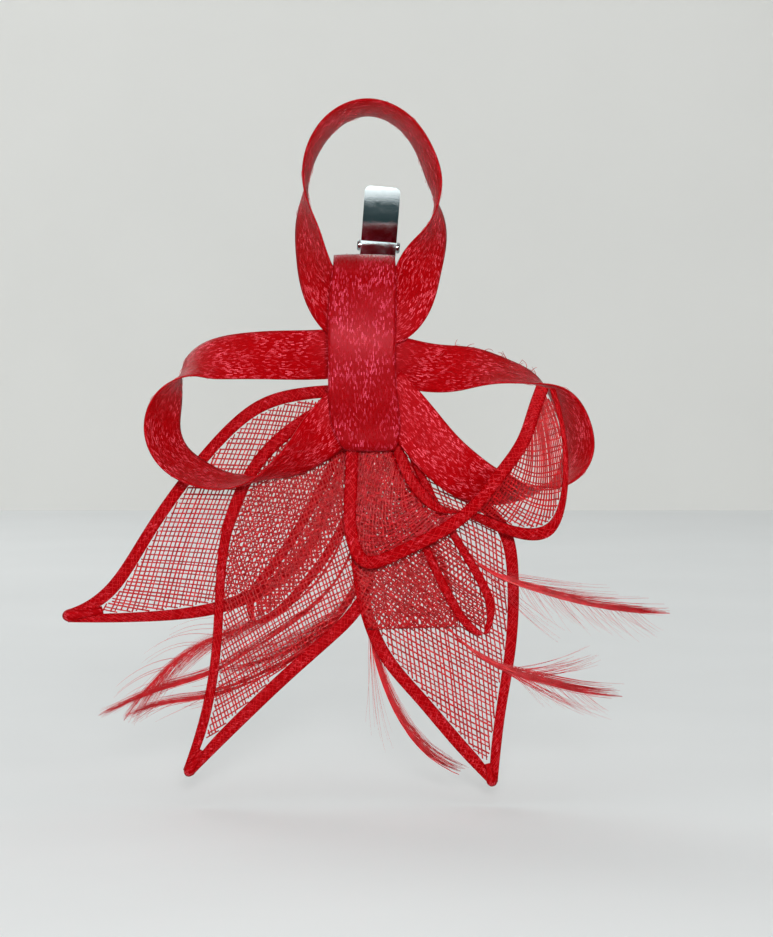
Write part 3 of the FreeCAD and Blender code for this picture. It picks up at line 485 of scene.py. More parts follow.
# Pressed wool felt: matt, with a tangle of short fibres.
PRESSED_FELT = noisy(
    "pressed_felt", {"Roughness": 0.95, "Sheen Weight": 0.5, "Sheen Roughness": 0.6,
                     "Sheen Tint": linear(PINK_SHEEN), "Specular IOR Level": 0.2},
    {"Scale": 1600.0, "Detail": 6.0, "Distortion": 1.5}, [(0.3, "#7C0B10"), (0.7, "#B3161D")],
    (0.8, 0.15))
# each cloth's colours are its dark, its body and its lightest, which its painted glints reach
RIBBON_CLOTH = woven_abaca("abaca_ribbon_cloth", 0.26, 0.72, ("#940004", "#B60006", "#F25A6A"), 0.32,
                           0.17)
# painted shade: the band is the same abaca cloth as the loops, drawn in deeper reds all over to darken
# it as the shade over its lower part does
BAND_CLOTH_PAINTED_SHADE = woven_abaca("abaca_band_cloth_painted_shade", 0.26, 0.72, ("#840004", "#A40005", "#E4506A"), 0.28, 0.36)
TAPE_CLOTH = woven_abaca("abaca_folded_tape", 0.4, 0.8, ("#880004", "#B00005", "#D84450"), 0.4, 0.1,
                         math.radians(35))
NET_FIBRE = dyed_fibre("abaca_net_fibre", "#960006", "#D60A16", 0.34, 0.9)
FLUFF_FIBRE = dyed_fibre("abaca_loose_fibre", "#BC0008", "#F04A5A", 0.24, 0.8)
TAPE_FIBRE = dyed_fibre("abaca_tape_fibre", "#AC0005", "#D01420", 0.36, 0.5, 0.12)
SEWING_THREAD = dyed_fibre("polyester_sewing_thread", "#8F0508", "#CC171E", 0.5, 0.25)
FEATHER_SHAFT = dyed_fibre("dyed_feather_shaft", "#B80008", "#E2101C", 0.3, 2.0)
FEATHER_BARB = dyed_fibre("dyed_feather_barb", "#C0040E", "#E42430", 0.35, 2.0)


# ---- lines and surfaces ----
class Line:
    """A smooth line through points: cubic pieces, with the end slopes of a parabola."""

    def __init__(self, points, parameters):
        p, t = np.array(points, float), np.array(parameters, float)
        step, n = np.diff(t), len(t)
        slope = np.diff(p, axis=0) / step[:, None]
        rows, right = np.zeros((n, n)), np.zeros_like(p)
        rows[0, 0] = rows[-1, -1] = 1
        right[0] = slope[0] + (slope[0] - slope[1]) * step[0] / (step[0] + step[1])
        right[-1] = slope[-1] + (slope[-1] - slope[-2]) * step[-1] / (step[-1] + step[-2])
        for i in range(1, n - 1):
            rows[i, i - 1:i + 2] = step[i], 2 * (step[i - 1] + step[i]), step[i - 1]
            right[i] = 3 * (step[i] * slope[i - 1] + step[i - 1] * slope[i])
        self.points, self.t, self.slopes = p, t, np.linalg.solve(rows, right)

    def at(self, u):
        u = np.clip(np.atleast_1d(u), 0, 1)
        i = np.clip(np.searchsorted(self.t, u, side="right") - 1, 0, len(self.t) - 2)
        h = (self.t[i + 1] - self.t[i])[:, None]
        s = ((u - self.t[i])[:, None]) / h
        p0, p1, m0, m1 = self.points[i], self.points[i + 1], self.slopes[i] * h, self.slopes[i + 1] * h
        return ((2 * s**3 - 3 * s**2 + 1) * p0 + (s**3 - 2 * s**2 + s) * m0
                + (3 * s**2 - 2 * s**3) * p1 + (s**3 - s**2) * m1)

    def along(self, u):
        u = np.clip(np.atleast_1d(u), 1e-4, 1 - 1e-4)
        return unit(self.at(u + 1e-4) - self.at(u - 1e-4))


def unit(v):
    return v / np.maximum(np.linalg.norm(v, axis=-1, keepdims=True), 1e-12)


def chord_parameters(*lines):
    """Parameters from 0 to 1 for lines that run side by side, from their mean point spacing."""
    steps = sum(np.linalg.norm(np.diff(np.array(line, float), axis=0), axis=1) for line in lines)
    values = np.concatenate([[0.0], np.cumsum(steps)])
    return values / values[-1]


class Surface:
    """A sheet's middle surface. u runs along it and v across it, each from 0 to 1."""

    ends = (0.0, 1.0)  # the part of u that the sheet covers

    def measure(self):
        """Finds the sheet's length, and its width at places along it."""
        self.places = np.linspace(*self.ends, 120)
        middle = self.at(self.places, np.full(120, 0.5))
        self.length = float(np.linalg.norm(np.diff(middle, axis=0), axis=1).sum())
        across = [self.at(self.places, np.full(120, v)) for v in (0.0, 0.25, 0.5, 0.75, 1.0)]
        self.widths = sum(np.linalg.norm(b - a, axis=1) for a, b in zip(across, across[1:]))
        return self

    def width(self, u):
        return np.interp(u, self.places, self.widths)

    def normal(self, u, v):
        e = 1e-3
        u, v = np.clip(u, e, 1 - e), np.clip(v, e, 1 - e)
        along, across = self.at(u + e, v) - self.at(u - e, v), self.at(u, v + e) - self.at(u, v - e)
        return unit(np.cross(along, across))

    def area(self):
        return float(self.widths.mean()) * self.length


class Ribbon(Surface):
    """A ribbon along (x, y, z, turn) stations. Its cross direction is turned about its line."""

    def __init__(self, stations, width, cup):
        stations = np.array(stations, float)
        t = chord_parameters(stations[:, :3])
        self.line, self.turn = Line(stations[:, :3], t), Line(stations[:, 3:], t)
        self.wide, self.cup = width, cup
        self.measure()

    def at(self, u, v):
        u, s = np.clip(u, 0, 1), (v - 0.5)[:, None]
        along, turn = self.line.along(u), np.radians(self.turn.at(u))
        beside = unit(np.stack([-along[:, 2], 0 * u, along[:, 0]], axis=1))
        across = beside * np.cos(turn) + np.array([[0.0, 1.0, 0.0]]) * np.sin(turn)
        across = unit(across - along * (along * across).sum(1, keepdims=True))
        face = np.cross(along, across)
        cup = self.cup * np.abs(np.sin(turn)) * (0.5 - 4 * s * s)
        return self.line.at(u) + across * (self.wide * s) + face * cup


class Between(Surface):
    """A sheet ruled between two edges, or the strip of it from share low to share high."""

    def __init__(self, first, second, low=None, high=None, bow=0.0, ends=(0.0, 1.0), set_back=0.0):
        self.first, self.second, self.low, self.high = first, second, low, high
        self.bow, self.ends, self.set_back = bow, ends, set_back
        self.measure()

    def whole_width(self, u):
        return np.linalg.norm(self.second.at(u) - self.first.at(u), axis=1)

    def at(self, u, v):
        u = np.clip(u, *self.ends)
        low = self.low(u) if self.low else 0.0 * u
        high = self.high(u) if self.high else 1.0 + 0.0 * u
        share = (low + (high - low) * v)[:, None]
        point = self.first.at(u) * (1 - share) + self.second.at(u) * share
        bow = self.bow * 4 * share[:, 0] * (1 - share[:, 0]) * np.sin(np.pi * u)
        point[:, 1] += bow + self.set_back * (1 - v)
        return point


class Strip(Surface):
    """A strip of even width that lies along a line and faces the front."""

    def __init__(self, line, width):
        self.line, self.wide = line, width
        self.measure()

    def at(self, u, v):
        along = self.line.along(u)
        across = unit(np.stack([-along[:, 2], 0 * along[:, 0], along[:, 0]], axis=1))
        return self.line.at(u) + across * (self.wide(u) * (v - 0.5))[:, None]


# ---- meshes ----
def piece(name, points, faces, material, uv=None, smooth=True):
    """A mesh object of the flower from points in millimetres."""
    mesh = bpy.data.meshes.new(name)
    mesh.from_pydata((np.asarray(points) * MM).tolist(), [], faces)
    if uv is not None:
        layer = mesh.uv_layers.new(name="cloth")
        corner = np.zeros(len(mesh.loops), int)
        mesh.loops.foreach_get("vertex_index", corner)
        layer.data.foreach_set("uv", np.asarray(uv, np.float32)[corner].ravel())
    mesh.polygons.foreach_set("use_smooth", [smooth] * len(mesh.polygons))
    mesh.materials.append(material)
    mesh.update()
    result = bpy.data.objects.new(name, mesh)
    bpy.context.scene.collection.objects.link(result)
    return result


def tubes(lines, radii, flatness=1.0, faces_wide=None, sides=4):
    """Closed thin tubes along lines of points. radii gives each line's radius at its points.
    faces_wide gives the normals that a flattened thread lies against."""
    points, faces, start = [], [], 0
    angles = 2 * np.pi * (np.arange(sides) + 0.5) / sides
    for index, line in enumerate(lines):
        along = unit(np.gradient(line, axis=0))
        if faces_wide is None:
            guide = np.array([0.0, 1.0, 0.0])
            up = unit(guide - along * (along @ guide)[:, None] + 1e-6)
        else:
            up = unit(faces_wide[index] - along * (along * faces_wide[index]).sum(1, keepdims=True))
        side = np.cross(along, up)
        radius = np.broadcast_to(radii[index], len(line))[:, None]
        rings = [line + radius * (side * math.cos(a) + up * (flatness * math.sin(a))) for a in angles]
        points.append(np.stack(rings, axis=1).reshape(-1, 3))
        n = len(line)
        ring = start + sides * np.arange(n - 1)[:, None] + np.arange(sides)[None, :]
        turn = start + sides * np.arange(n - 1)[:, None] + (np.arange(sides)[None, :] + 1) % sides
        quads = np.stack([ring, turn, turn + sides, ring + sides], axis=2).reshape(-1, 4)
        faces += quads.tolist()
        faces.append((start + np.arange(sides))[::-1].tolist())
        faces.append((start + sides * (n - 1) + np.arange(sides)).tolist())
        start += sides * n
    return np.concatenate(points), faces


def ripple(u, v, seed, waves=4):
    """A gentle unevenness between -1 and 1, different for each seed."""
    rng = np.random.default_rng(seed)
    total = 0.0 * u
    for _ in range(waves):
        a, b = rng.uniform(8, 40), rng.uniform(0, 5)
        total = total + np.sin(a * u + b * v + rng.uniform(0, 2 * np.pi)) / waves
    return total


def cloth_sheet(name, surface, thickness, rows, columns, material, seed, unevenness):
    """A closed sheet with rounded edges, and its place on the cloth in millimetres as its UV map."""
    low, high = surface.ends
    u = np.linspace(low, high, rows)
    v = np.linspace(0, 1, columns)
    edge = np.sin(np.pi * np.clip(v, 0.02, 0.98)) ** 0.3
    points, uvs = [], []
    for side in (1, -1):
        order = range(columns) if side == 1 else range(columns - 1, -1, -1)
        for j in order:
            vv = np.full(rows, v[j])
            lift = side * thickness / 2 * edge[j] + unevenness * ripple(u, vv, seed)
            points.append(surface.at(u, vv) + surface.normal(u, vv) * lift[:, None])
            wide = surface.width(u)
            uvs.append(np.stack([(u - low) / (high - low) * surface.length,
                                 (v[j] - 0.5) * wide + 100 * (side < 0)], axis=1))
    around = 2 * columns
    grid = np.arange(rows * around).reshape(around, rows).T
    faces = []
    for i in range(rows - 1):
        a, b = grid[i], grid[i + 1]
        faces += np.stack([a, b, np.roll(b, -1), np.roll(a, -1)], axis=1).tolist()
    for row, flip in ((0, 1), (rows - 1, -1)):
        for j in range(columns - 1):
            quad = [grid[row, j], grid[row, j + 1], grid[row, around - 2 - j], grid[row, around - 1 - j]]
            faces.append([int(k) for k in quad[::flip]])
    return piece(name, np.concatenate(points), faces, material, np.concatenate(uvs))


def woven_threads(surface, pitch, angles, width, lift, seed, weave=0.07, step=0.6, wander=0.12):
    """The threads of a net laid over a surface: two families of parallel threads at angles to its
    length, which pass over and under each other. Returns lines, normals and half widths."""
    rng = np.random.default_rng(seed)
    low, high = surface.ends
    reach = math.hypot(surface.length, float(surface.widths.max())) / 2
    d = np.arange(-reach, reach, step)
    runs = []
    for family, angle in enumerate(angles):
        along = np.array([math.cos(angle), math.sin(angle)])
        across = np.array([-math.sin(angle), math.cos(angle)])
        for k in range(int(-reach / pitch), int(reach / pitch) + 1):
            drift = wander * pitch * np.sin(d * rng.uniform(0.05, 0.25) + rng.uniform(0, 6.28))
            offset = k * pitch + rng.normal(0, wander * pitch * 0.6) + drift
            flat = d[:, None] * along + offset[:, None] * across
            u = low + (0.5 + flat[:, 0] / surface.length) * (high - low)
            v = 0.5 + flat[:, 1] / np.maximum(surface.width(u), 1e-6)
            inside = (u > low) & (u < high) & (v > 0) & (v < 1)
            over = np.cos(np.pi * (d / pitch + k)) * (1 if family else -1) * weave + lift
            for run in np.split(np.arange(len(d)), np.flatnonzero(np.diff(inside)) + 1):
                if len(run) >= 3 and inside[run[0]]:
                    runs.append((u[run], v[run], over[run]))
    return laid_on(surface, runs) + ([width / 2 * rng.uniform(0.8, 1.2) for _ in runs],)


def laid_on(surface, runs):
    """Lines and their normals for runs of (u, v, height) over a surface."""
    u, v, height = (np.concatenate([run[i] for run in runs]) for i in range(3))
    normal = surface.normal(u, v)
    point = surface.at(u, v) + normal * height[:, None]
    ends = np.cumsum([len(run[0]) for run in runs])[:-1]
    return np.split(point, ends), np.split(normal, ends)


def net(name, surface, pitch, angles, thread, layers, material, slot, flatness=0.42, **options):
    """An open net made of its threads, in layers given as (height over the surface, seed)."""
    lines, normals, radii = [], [], []
    for height, seed in layers:
        got = woven_threads(surface, pitch, np.radians(angles), thread, height, seed, **options)
        lines, normals, radii = lines + got[0], normals + got[1], radii + got[2]
    points, faces = tubes(lines, radii, flatness, normals)
    return piece(name, points, faces, material)


def loose_fibres(name, surface, count, seed, length, radius, offset, material, along=1.0,
                 reach=1.0):
    """Silky fibres that lie on a cloth's two faces, mostly along it, where the weave has fluffed up."""
    rng = np.random.default_rng(seed)
    low, high = surface.ends
    high = low + (high - low) * reach
    steps = np.linspace(0, 1, 7)
    runs = []
    for _ in range(count):
        size = rng.uniform(*length)
        heading = rng.normal(0, 0.35) if rng.random() < along else rng.uniform(-1.2, 1.2)
        turn = heading + rng.normal(0, 0.5) * steps
        u = rng.uniform(low, high) + np.cumsum(np.cos(turn) * size / 7) / surface.length
        u = np.clip(u, low, high)
        v = rng.uniform(0.04, 0.96) + np.cumsum(np.sin(turn) * size / 7) / surface.width(u)
        rise = rng.choice((-1, 1)) * (offset + 0.12 * np.sin(np.pi * steps))
        runs.append((u, np.clip(v, 0.02, 0.98), rise))
    lines, normals = laid_on(surface, runs)
    taper = np.sin(np.linspace(0.35, np.pi - 0.35, 7))
    radii = [radius * rng.uniform(0.6, 1.3) * taper for _ in lines]
    points, faces = tubes(lines, radii, 0.7, normals)
    return piece(name, points, faces, material)


def dress(node, main, *others):
    """Pieces that ride on the front jaw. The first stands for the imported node."""
    for o in (main,) + others:
        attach(o, "front")
    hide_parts(node)


# ---- the loops and the band ----
def make_ribbon(node, surface, seed, cloth_look, fibre_look):
    """A folded ribbon of width mm, and the fibres that have fluffed up from it. cloth_look is its share
    of the ribbon's thickness, its rows, columns, material and unevenness. fibre_look is how many fibres
    per mm, their greatest length, radius, and height as a share of the ribbon's thickness."""
    thickness, rows, columns, material, unevenness = cloth_look
    density, longest, radius, height = fibre_look
    cloth = cloth_sheet(node + "_cloth", surface, RIBBON_THICKNESS * thickness, rows, columns, material,
                        seed, unevenness)
    fibres = loose_fibres(node + "_fibres", surface, int(surface.length * density), seed + 1,
                          (0.8, longest), radius, RIBBON_THICKNESS * height, FLUFF_FIBRE)
    dress(node, cloth, fibres)
    return surface


def make_loop(node, stations, seed):
    return make_ribbon(node, Ribbon(stations, RIBBON_WIDTH, RIBBON_CUP), seed,
                       (0.75, 160, 15, RIBBON_CLOTH, 0.1), (7, 2.8, 0.05, 0.4))


def make_band():
    left = [(x0, y, z) for y, z, x0, x1 in BAND_LINE]
    right = [(x1, y, z) for y, z, x0, x1 in BAND_LINE]
    t = chord_parameters(left, right)
    surface = Between(Line(left, t), Line(right, t))
    make_ribbon("centre_band", surface, 41,
                (0.8, 140, 19, BAND_CLOTH_PAINTED_SHADE, 0.06), (3.5, 2.4, 0.045, 0.42))


# ---- leaves and petals ----
NET_LOOK = {  # pitch, the two thread angles from the leaf's length in degrees, layers of net
    "left_leaf": (0.9, (38, -40), (0.0,)),
    "left_petal": (0.9, (35, -55), (0.09, -0.09)),
    "lower_left_leaf": (0.9, (60, -30), (0.0,)),
    "lower_right_leaf": (0.9, (-9, 40), (0.0,)),
    "right_petal": (0.9, (30, -60), (0.0,)),
    "right_leaf": (0.86, (44, -46), (0.0,)),
}
NET_THREAD = 0.42  # a real one is about 0.25 mm: it is drawn wider, to show
TAPE_THREAD = 0.22
FLAT_ALLOWANCE = 1.05  # a net is cut this much larger than its place between the tapes
NARROWEST_NET = 10.5
LEAST_AREA = 0.31  # of a net's flat size
FLUFFED_ROOTS = {"left_petal": 520, "right_leaf": 700, "right_petal": 200, "lower_left_leaf": 260}
ROLLED_TIPS = {"left_leaf": (7.0, 1.45), "lower_left_leaf": (5.0, 1.35), "lower_right_leaf": (4.0, 1.3)}


def make_leaf(name, spec, seed):
    edges = spec["edges"]
    t = chord_parameters(*edges)
    first, second = Line(edges[0], t), Line(edges[1], t)
    whole = Between(first, second)
    tape, bow, set_back = spec["tape"], spec.get("bow", 0.0), spec.get("set_back", 0.0)

    def tape_share(u):
        wide = np.maximum(whole.whole_width(u), 1e-6)
        share, half = tape / wide, 0.5 - TAPE_GAP / 2 / wide
        return share * half / (share**4 + half**4) ** 0.25

    def inside_tape(u):
        return (tape + TAPE_GAP) / np.maximum(whole.whole_width(u), 1e-6)

    u = np.linspace(1, 0, 400)
    open_enough = whole.whole_width(u) >= 2 * (tape + TAPE_GAP) + NET_THICKNESS
    end = float(u[np.argmax(open_enough)])
    low = (lambda u: 0.0 * u) if set_back else inside_tape
    cloth = Between(first, second, low, lambda u: 1 - inside_tape(u), bow, (0.0, end), set_back)
    pitch, angles, layers = NET_LOOK[name]
    mesh = net(name + "_threads", cloth, pitch, angles, NET_THREAD,
               [(height, seed + n) for n, height in enumerate(layers)], NET_FIBRE, "abaca_net")
    if set_back:
        front = Strip(first, lambda u: np.minimum(tape, whole.whole_width(u) - 2 * TAPE_GAP))
    else:
        front = Between(first, second, None, tape_share, bow)
    back = Between(first, second, lambda u: 1 - tape_share(u), None, bow)
    hems = []
    for side, surface, shift in zip(spec["tapes"], (front, back), (1, 2)):
        node = f"{name}_{side}_tape"
        hem = cloth_sheet(node + "_cloth", surface, TAPE_THICKNESS * 0.8, 110, 7, TAPE_CLOTH,
                          seed + shift, 0.07)
        faces = [(face * TAPE_THICKNESS * 0.39, seed + 5 + face + shift) for face in (1, -1)]
        ridges = net(node + "_threads", surface, 0.85, (40, -50), TAPE_THREAD, faces, TAPE_FIBRE,
                     "abaca_tape", 0.7, step=0.5, wander=0.3)
        dress(node, hem, ridges)
        hems += [hem, ridges]
    if name in ROLLED_TIPS:
        size, radius = ROLLED_TIPS[name]
        s = np.linspace(1 - size / whole.length, 1, 16)
        middle = whole.at(s, np.full(16, 0.5))
        hems.append(make_rolled_tip(name + "_rolled_tip", middle, radius, size, seed))
    if name in FLUFFED_ROOTS:
        fluff = loose_fibres(name + "_fluff", cloth, FLUFFED_ROOTS[name], seed + 9, (0.8, 2.6), 0.06,
                             0.22, FLUFF_FIBRE, 0.6, 0.5)
        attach(fluff, "front")
    dress(name + "_net", mesh)
    wide = float(cloth.width(np.linspace(*cloth.ends, 60)).max())
    area = cloth.area() * len(layers)
    flat_width = max(wide, NARROWEST_NET) * FLAT_ALLOWANCE * len(layers)
    flat_length = cloth.length * FLAT_ALLOWANCE
    area = max(area, LEAST_AREA * flat_width * flat_length)


def make_rolled_tip(name, middle, radius, size, twist):
    """The end of a leaf, where its two tapes are rolled together and pressed into a small bead."""
    beyond = np.array([0.35, 0.7, 0.9, 1.0]) * radius * 0.8
    line = np.concatenate([middle, middle[-1] + unit(middle[-1] - middle[-2]) * beyond[:, None]])
    place = np.concatenate([np.linspace(-size, 0, len(middle)), beyond])
    rounded = np.sqrt(np.clip(1 - (np.clip(place + 0.5 * radius, 0, None) / (1.32 * radius)) ** 2, 0, 1))
    fatness = radius * (0.6 + 0.4 * np.clip(1 + place / size * 1.6, 0, 1)) * np.maximum(rounded, 0.12)
    sides, seams, seam_height = 14, 5, 0.07
    points, faces = tubes([line], [fatness], 0.8, sides=sides)
    count = len(line)
    outward = unit(points - line[np.repeat(np.arange(count), sides)])
    around = np.tile(np.arange(sides), count)
    seam = seam_height * np.sin(around * 2 * np.pi / sides * seams + np.repeat(place, sides) + twist)
    points = points + outward * seam[:, None]
    cloth_place = np.stack([np.repeat(place, sides), around * 0.5], axis=1)
    tip = piece(name, points, faces, TAPE_CLOTH, cloth_place)
    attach(tip, "front")
    return tip


def make_stray_hairs(surface, count, seed):
    """Fine fibres that have worked loose along the right loop's upper edge and curl up from it."""
    rng = np.random.default_rng(seed)
    lines, radii = [], []
    for k in range(count):
        u = 0.18 + 0.17 * (k + rng.random()) / count
        root = surface.at(np.array([u]), np.array([0.985]))[0]
        if surface.at(np.array([u]), np.array([0.02]))[0][2] > root[2]:
            root = surface.at(np.array([u]), np.array([0.02]))[0]
        size = rng.uniform(0.9, 2.7)
        s = np.linspace(0, 1, 9)
        heading = rng.normal(0.0, 0.7) + rng.normal(0, 1.2) * s
        step = size / 8
        x = np.cumsum(np.sin(heading)) * step
        z = np.cumsum(np.cos(heading)) * step
        y = rng.normal(0, 0.3) * s * size
        lines.append(root + np.stack([x, y, z], axis=1) - np.array([0, 0, 0.3]))
        radii.append(0.09 * (1 - 0.5 * s))
    points, faces = tubes(lines, radii, 1.0)
    hairs = piece("right_loop_stray_hairs", points, faces, NET_FIBRE)
    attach(hairs, "front")


def make_puff():
    """The wide net that folds at its lower end, in two layers."""
    left = [(x, 0, z) for x, z in PUFF_LEFT]
    right = [(x, 0, z) for x, z in PUFF_RIGHT]
    t = chord_parameters(left, right)
    left_line, right_line = Line(left, t), Line(right, t)
    middle = (PUFF_BACK_Y + PUFF_FRONT_Y) / 2
    past = 1.03  # how far down its edges the net reaches: past their ends by the fold
    tight, loose = 0.22, 0.5  # how far the layers part at the root, and from halfway down
    behind, before = 0.6, -1.3

    class Folded(Surface):
        """Down behind for u under a half, and up in front for the rest."""

        def at(self, u, v):
            u = np.clip(u, 0, 1)
            down = np.minimum(2 * u, 2 - 2 * u)
            place = np.clip(down * past, 0, 1)
            point = left_line.at(place) * (1 - v[:, None]) + right_line.at(place) * v[:, None]
            opened = tight + (loose - tight) * np.clip(2 * place, 0, 1)
            near_fold = np.sqrt(np.clip(1 - (np.clip(down * past - 1, -0.04, 0.03) + 0.04) / 0.07, 0, 1))
            side = np.where(u < 0.5, behind, before)
            point[:, 1] += middle + side * opened * near_fold
            point[:, 2] -= PUFF_FOLD * np.clip((down - 0.955) / 0.045, 0, 1)
            return point

    surface = Folded().measure()
    mesh = net("centre_puff_threads", surface, 0.88, (35, -52), NET_THREAD, [(0.0, 77)], NET_FIBRE,
               "abaca_net")
    dress("centre_puff", mesh)
    wide = float(surface.width(np.linspace(0.02, 0.98, 60)).max())
    surface.area() * MM * MM


# ---- feathers ----
# The locks of barbs on each feather: the share of the shaft where they start and where they end, the
# angle at which they leave it (positive to its left as it points right), the spread of that angle, how
# much of the angle a barb loses towards its end, length in mm, how many, and thickness in mm. A real
# barb is 0.03 mm thick: it is drawn thicker, to show.
FEATHER_LOCKS = {
    "right_feather_upper": [
        (0.47, 0.80, 1, 1.6, 0.8, 37, 80, 0.13), (0.50, 0.64, 6, 1.6, 0.3, 26, 24, 0.08),
        (0.47, 0.60, 12, 2.5, 0.5, 24, 16, 0.06), (0.76, 0.93, 3, 4.0, 0.4, 6, 22, 0.07),
        (0.49, 0.54, -27, 2.0, 0.2, 25, 8, 0.06), (0.60, 0.92, -42, 5, 0.3, 9, 50, 0.04)],
    "right_feather_lower": [
        (0.57, 0.76, 1, 2.6, 0.8, 34, 80, 0.13), (0.70, 0.77, 15, 2.5, -1.0, 19, 24, 0.08),
        (0.82, 0.96, 4, 5.0, 0.4, 5, 24, 0.07), (0.71, 0.78, -15, 2.0, 0.1, 19, 14, 0.07),
        (0.74, 0.92, -36, 5, 0.3, 9, 34, 0.04)],
    "bottom_feather": [
        (0.44, 0.84, 0, 1.6, 1.0, 44, 90, 0.14), (0.54, 0.60, -5, 1.5, -3.0, 24, 12, 0.05),
        (0.58, 0.70, 7, 2.0, 0.4, 18, 12, 0.05), (0.84, 0.98, 0, 3.5, 0.8, 4, 14, 0.07)],
    "left_feather_first": [
        (0.50, 0.88, 10, 4.0, 0.6, 19, 170, 0.055), (0.50, 0.88, -3, 3.0, 0.6, 19, 90, 0.055),
        (0.56, 0.93, -38, 2.5, 0.7, 17, 12, 0.07), (0.84, 0.99, 0, 8.0, 0.4, 8, 18, 0.05)],
    "left_feather_second": [
        (0.40, 0.84, 0, 1.2, 0.8, 40, 80, 0.13), (0.78, 0.97, 0, 8.0, 0.5, 10, 30, 0.06)],
    "left_feather_third": [
        (0.40, 0.84, 0, 1.4, 0.8, 38, 70, 0.12), (0.74, 0.97, 8, 9.0, 0.5, 11, 34, 0.06)],
    "left_feather_fourth": [
        (0.34, 0.80, 0, 5.0, 0.8, 34, 110, 0.10), (0.66, 0.95, 0, 9.0, 0.5, 10, 26, 0.05)],
}


def barb(line, length, root, angle, size, ease, rng, thickness):
    """One barb: it leaves the shaft at root at an angle and bends back to run beside the shaft."""
    s = np.linspace(0, 1, 9)
    along = line.along(np.minimum(root + s * size / length, 1.0))
    across = unit(np.stack([-along[:, 2], 0 * s, along[:, 0]], axis=1))
    bend = (angle * (1 - ease * s))[:, None]
    steps = (along * np.cos(bend) + across * np.sin(bend)) * size / 8
    steps[0] = 0
    points = line.at(root)[0] + np.cumsum(steps, axis=0)
    points[:, 1] += rng.normal(0, 0.03) * size * s**2
    return points, thickness * (1 - 0.8 * s)


def make_feather(node, points, seed):
    """A dyed hackle: a shaft that thins to its tip, and its locks of barbs."""
    line = Line(points, chord_parameters(points))
    rng = np.random.default_rng(seed)
    u = np.linspace(0, 1, 90)
    length = float(np.linalg.norm(np.diff(line.at(u), axis=0), axis=1).sum())
    lines, radii = [], []
    for start, end, angle, spread, ease, reach, count, thickness in FEATHER_LOCKS[node]:
        for k in range(count):
            root = start + (end - start) * (k + rng.random()) / count
            size = min(reach * rng.uniform(0.7, 1.08), (1.0 - root) * length * rng.uniform(0.75, 1.0))
            turn = math.radians(angle + rng.normal(0, spread))
            got = barb(line, length, root, turn, size, ease, rng, thickness * rng.uniform(0.7, 1.2))
            lines.append(got[0])
            radii.append(got[1])
    radius = 0.36 - 0.30 * u**1.2  # the shaft's, which thins to its tip
    shaft_points, shaft_faces = tubes([line.at(u)], [radius], 0.8, sides=8)
    shaft = piece(node + "_shaft", shaft_points, shaft_faces, FEATHER_SHAFT)
    barb_points, barb_faces = tubes(lines, radii, 0.7, sides=3)
    barbs = piece(node + "_barbs", barb_points, barb_faces, FEATHER_BARB)
    dress(node, shaft, barbs)


# ---- clip, glue and felt ----
SLAB_VOXEL = 0.3
SLAB_WAVES = 900  # the slabs' unevenness, in radians per metre


def leaned(points):
    """Turns points from the upright clip to its lean in the flower's plane."""
    c, s = math.cos(CLIP_LEAN), math.sin(CLIP_LEAN)
    x, y, z = np.asarray(points, float).T
    return np.stack([c * x + s * z, y, c * z - s * x], axis=1)


def make_spring():
    """The torsion spring round the pin, whose two legs follow the two tabs."""
    wire = SPRING_WIRE / 2
    coil = PIN_RADIUS + SPRING_CLEARANCE + wire
    pitch = SPRING_WIRE + TURN_GAP
    length = (SPRING_TURNS + 0.5) * pitch
    back = JAW_GAP / 2
    away = (wire + SPRING_CLEARANCE) / math.cos(TAB_FLARE)
    reach = back + (SPRING_LEG - TAB_START) * math.tan(TAB_FLARE) - away
    knee_reach = back - wire - SPRING_CLEARANCE
    turns = np.linspace(0, 2 * np.pi * (SPRING_TURNS + 0.5), 200)
    coil_points = np.stack([-length / 2 + length * turns / turns[-1], -coil * np.cos(turns),
                            PIN_HEIGHT - coil * np.sin(turns)], axis=1)

    def leg(side):
        s = np.linspace(0, 1, 12)[:, None]
        x = side * length / 2
        knee_point = np.array([x, side * knee_reach, PIN_HEIGHT + SPRING_KNEE])
        start = np.array([x, side * coil, PIN_HEIGHT])
        end = np.array([x, side * reach, PIN_HEIGHT + SPRING_LEG])
        inner, outer = knee_point - start, end - knee_point
        return np.concatenate([start + inner * s[:-1], knee_point + outer * s])

    points = np.concatenate([leg(-1)[::-1], coil_points[1:-1], leg(1)])
    shape, faces = tubes([leaned(points)], [np.full(len(points), wire)], sides=10)
    spring = piece("clip_spring_wire", shape, faces, DRAWN_WIRE)
    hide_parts("clip_spring")
    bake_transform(spring)


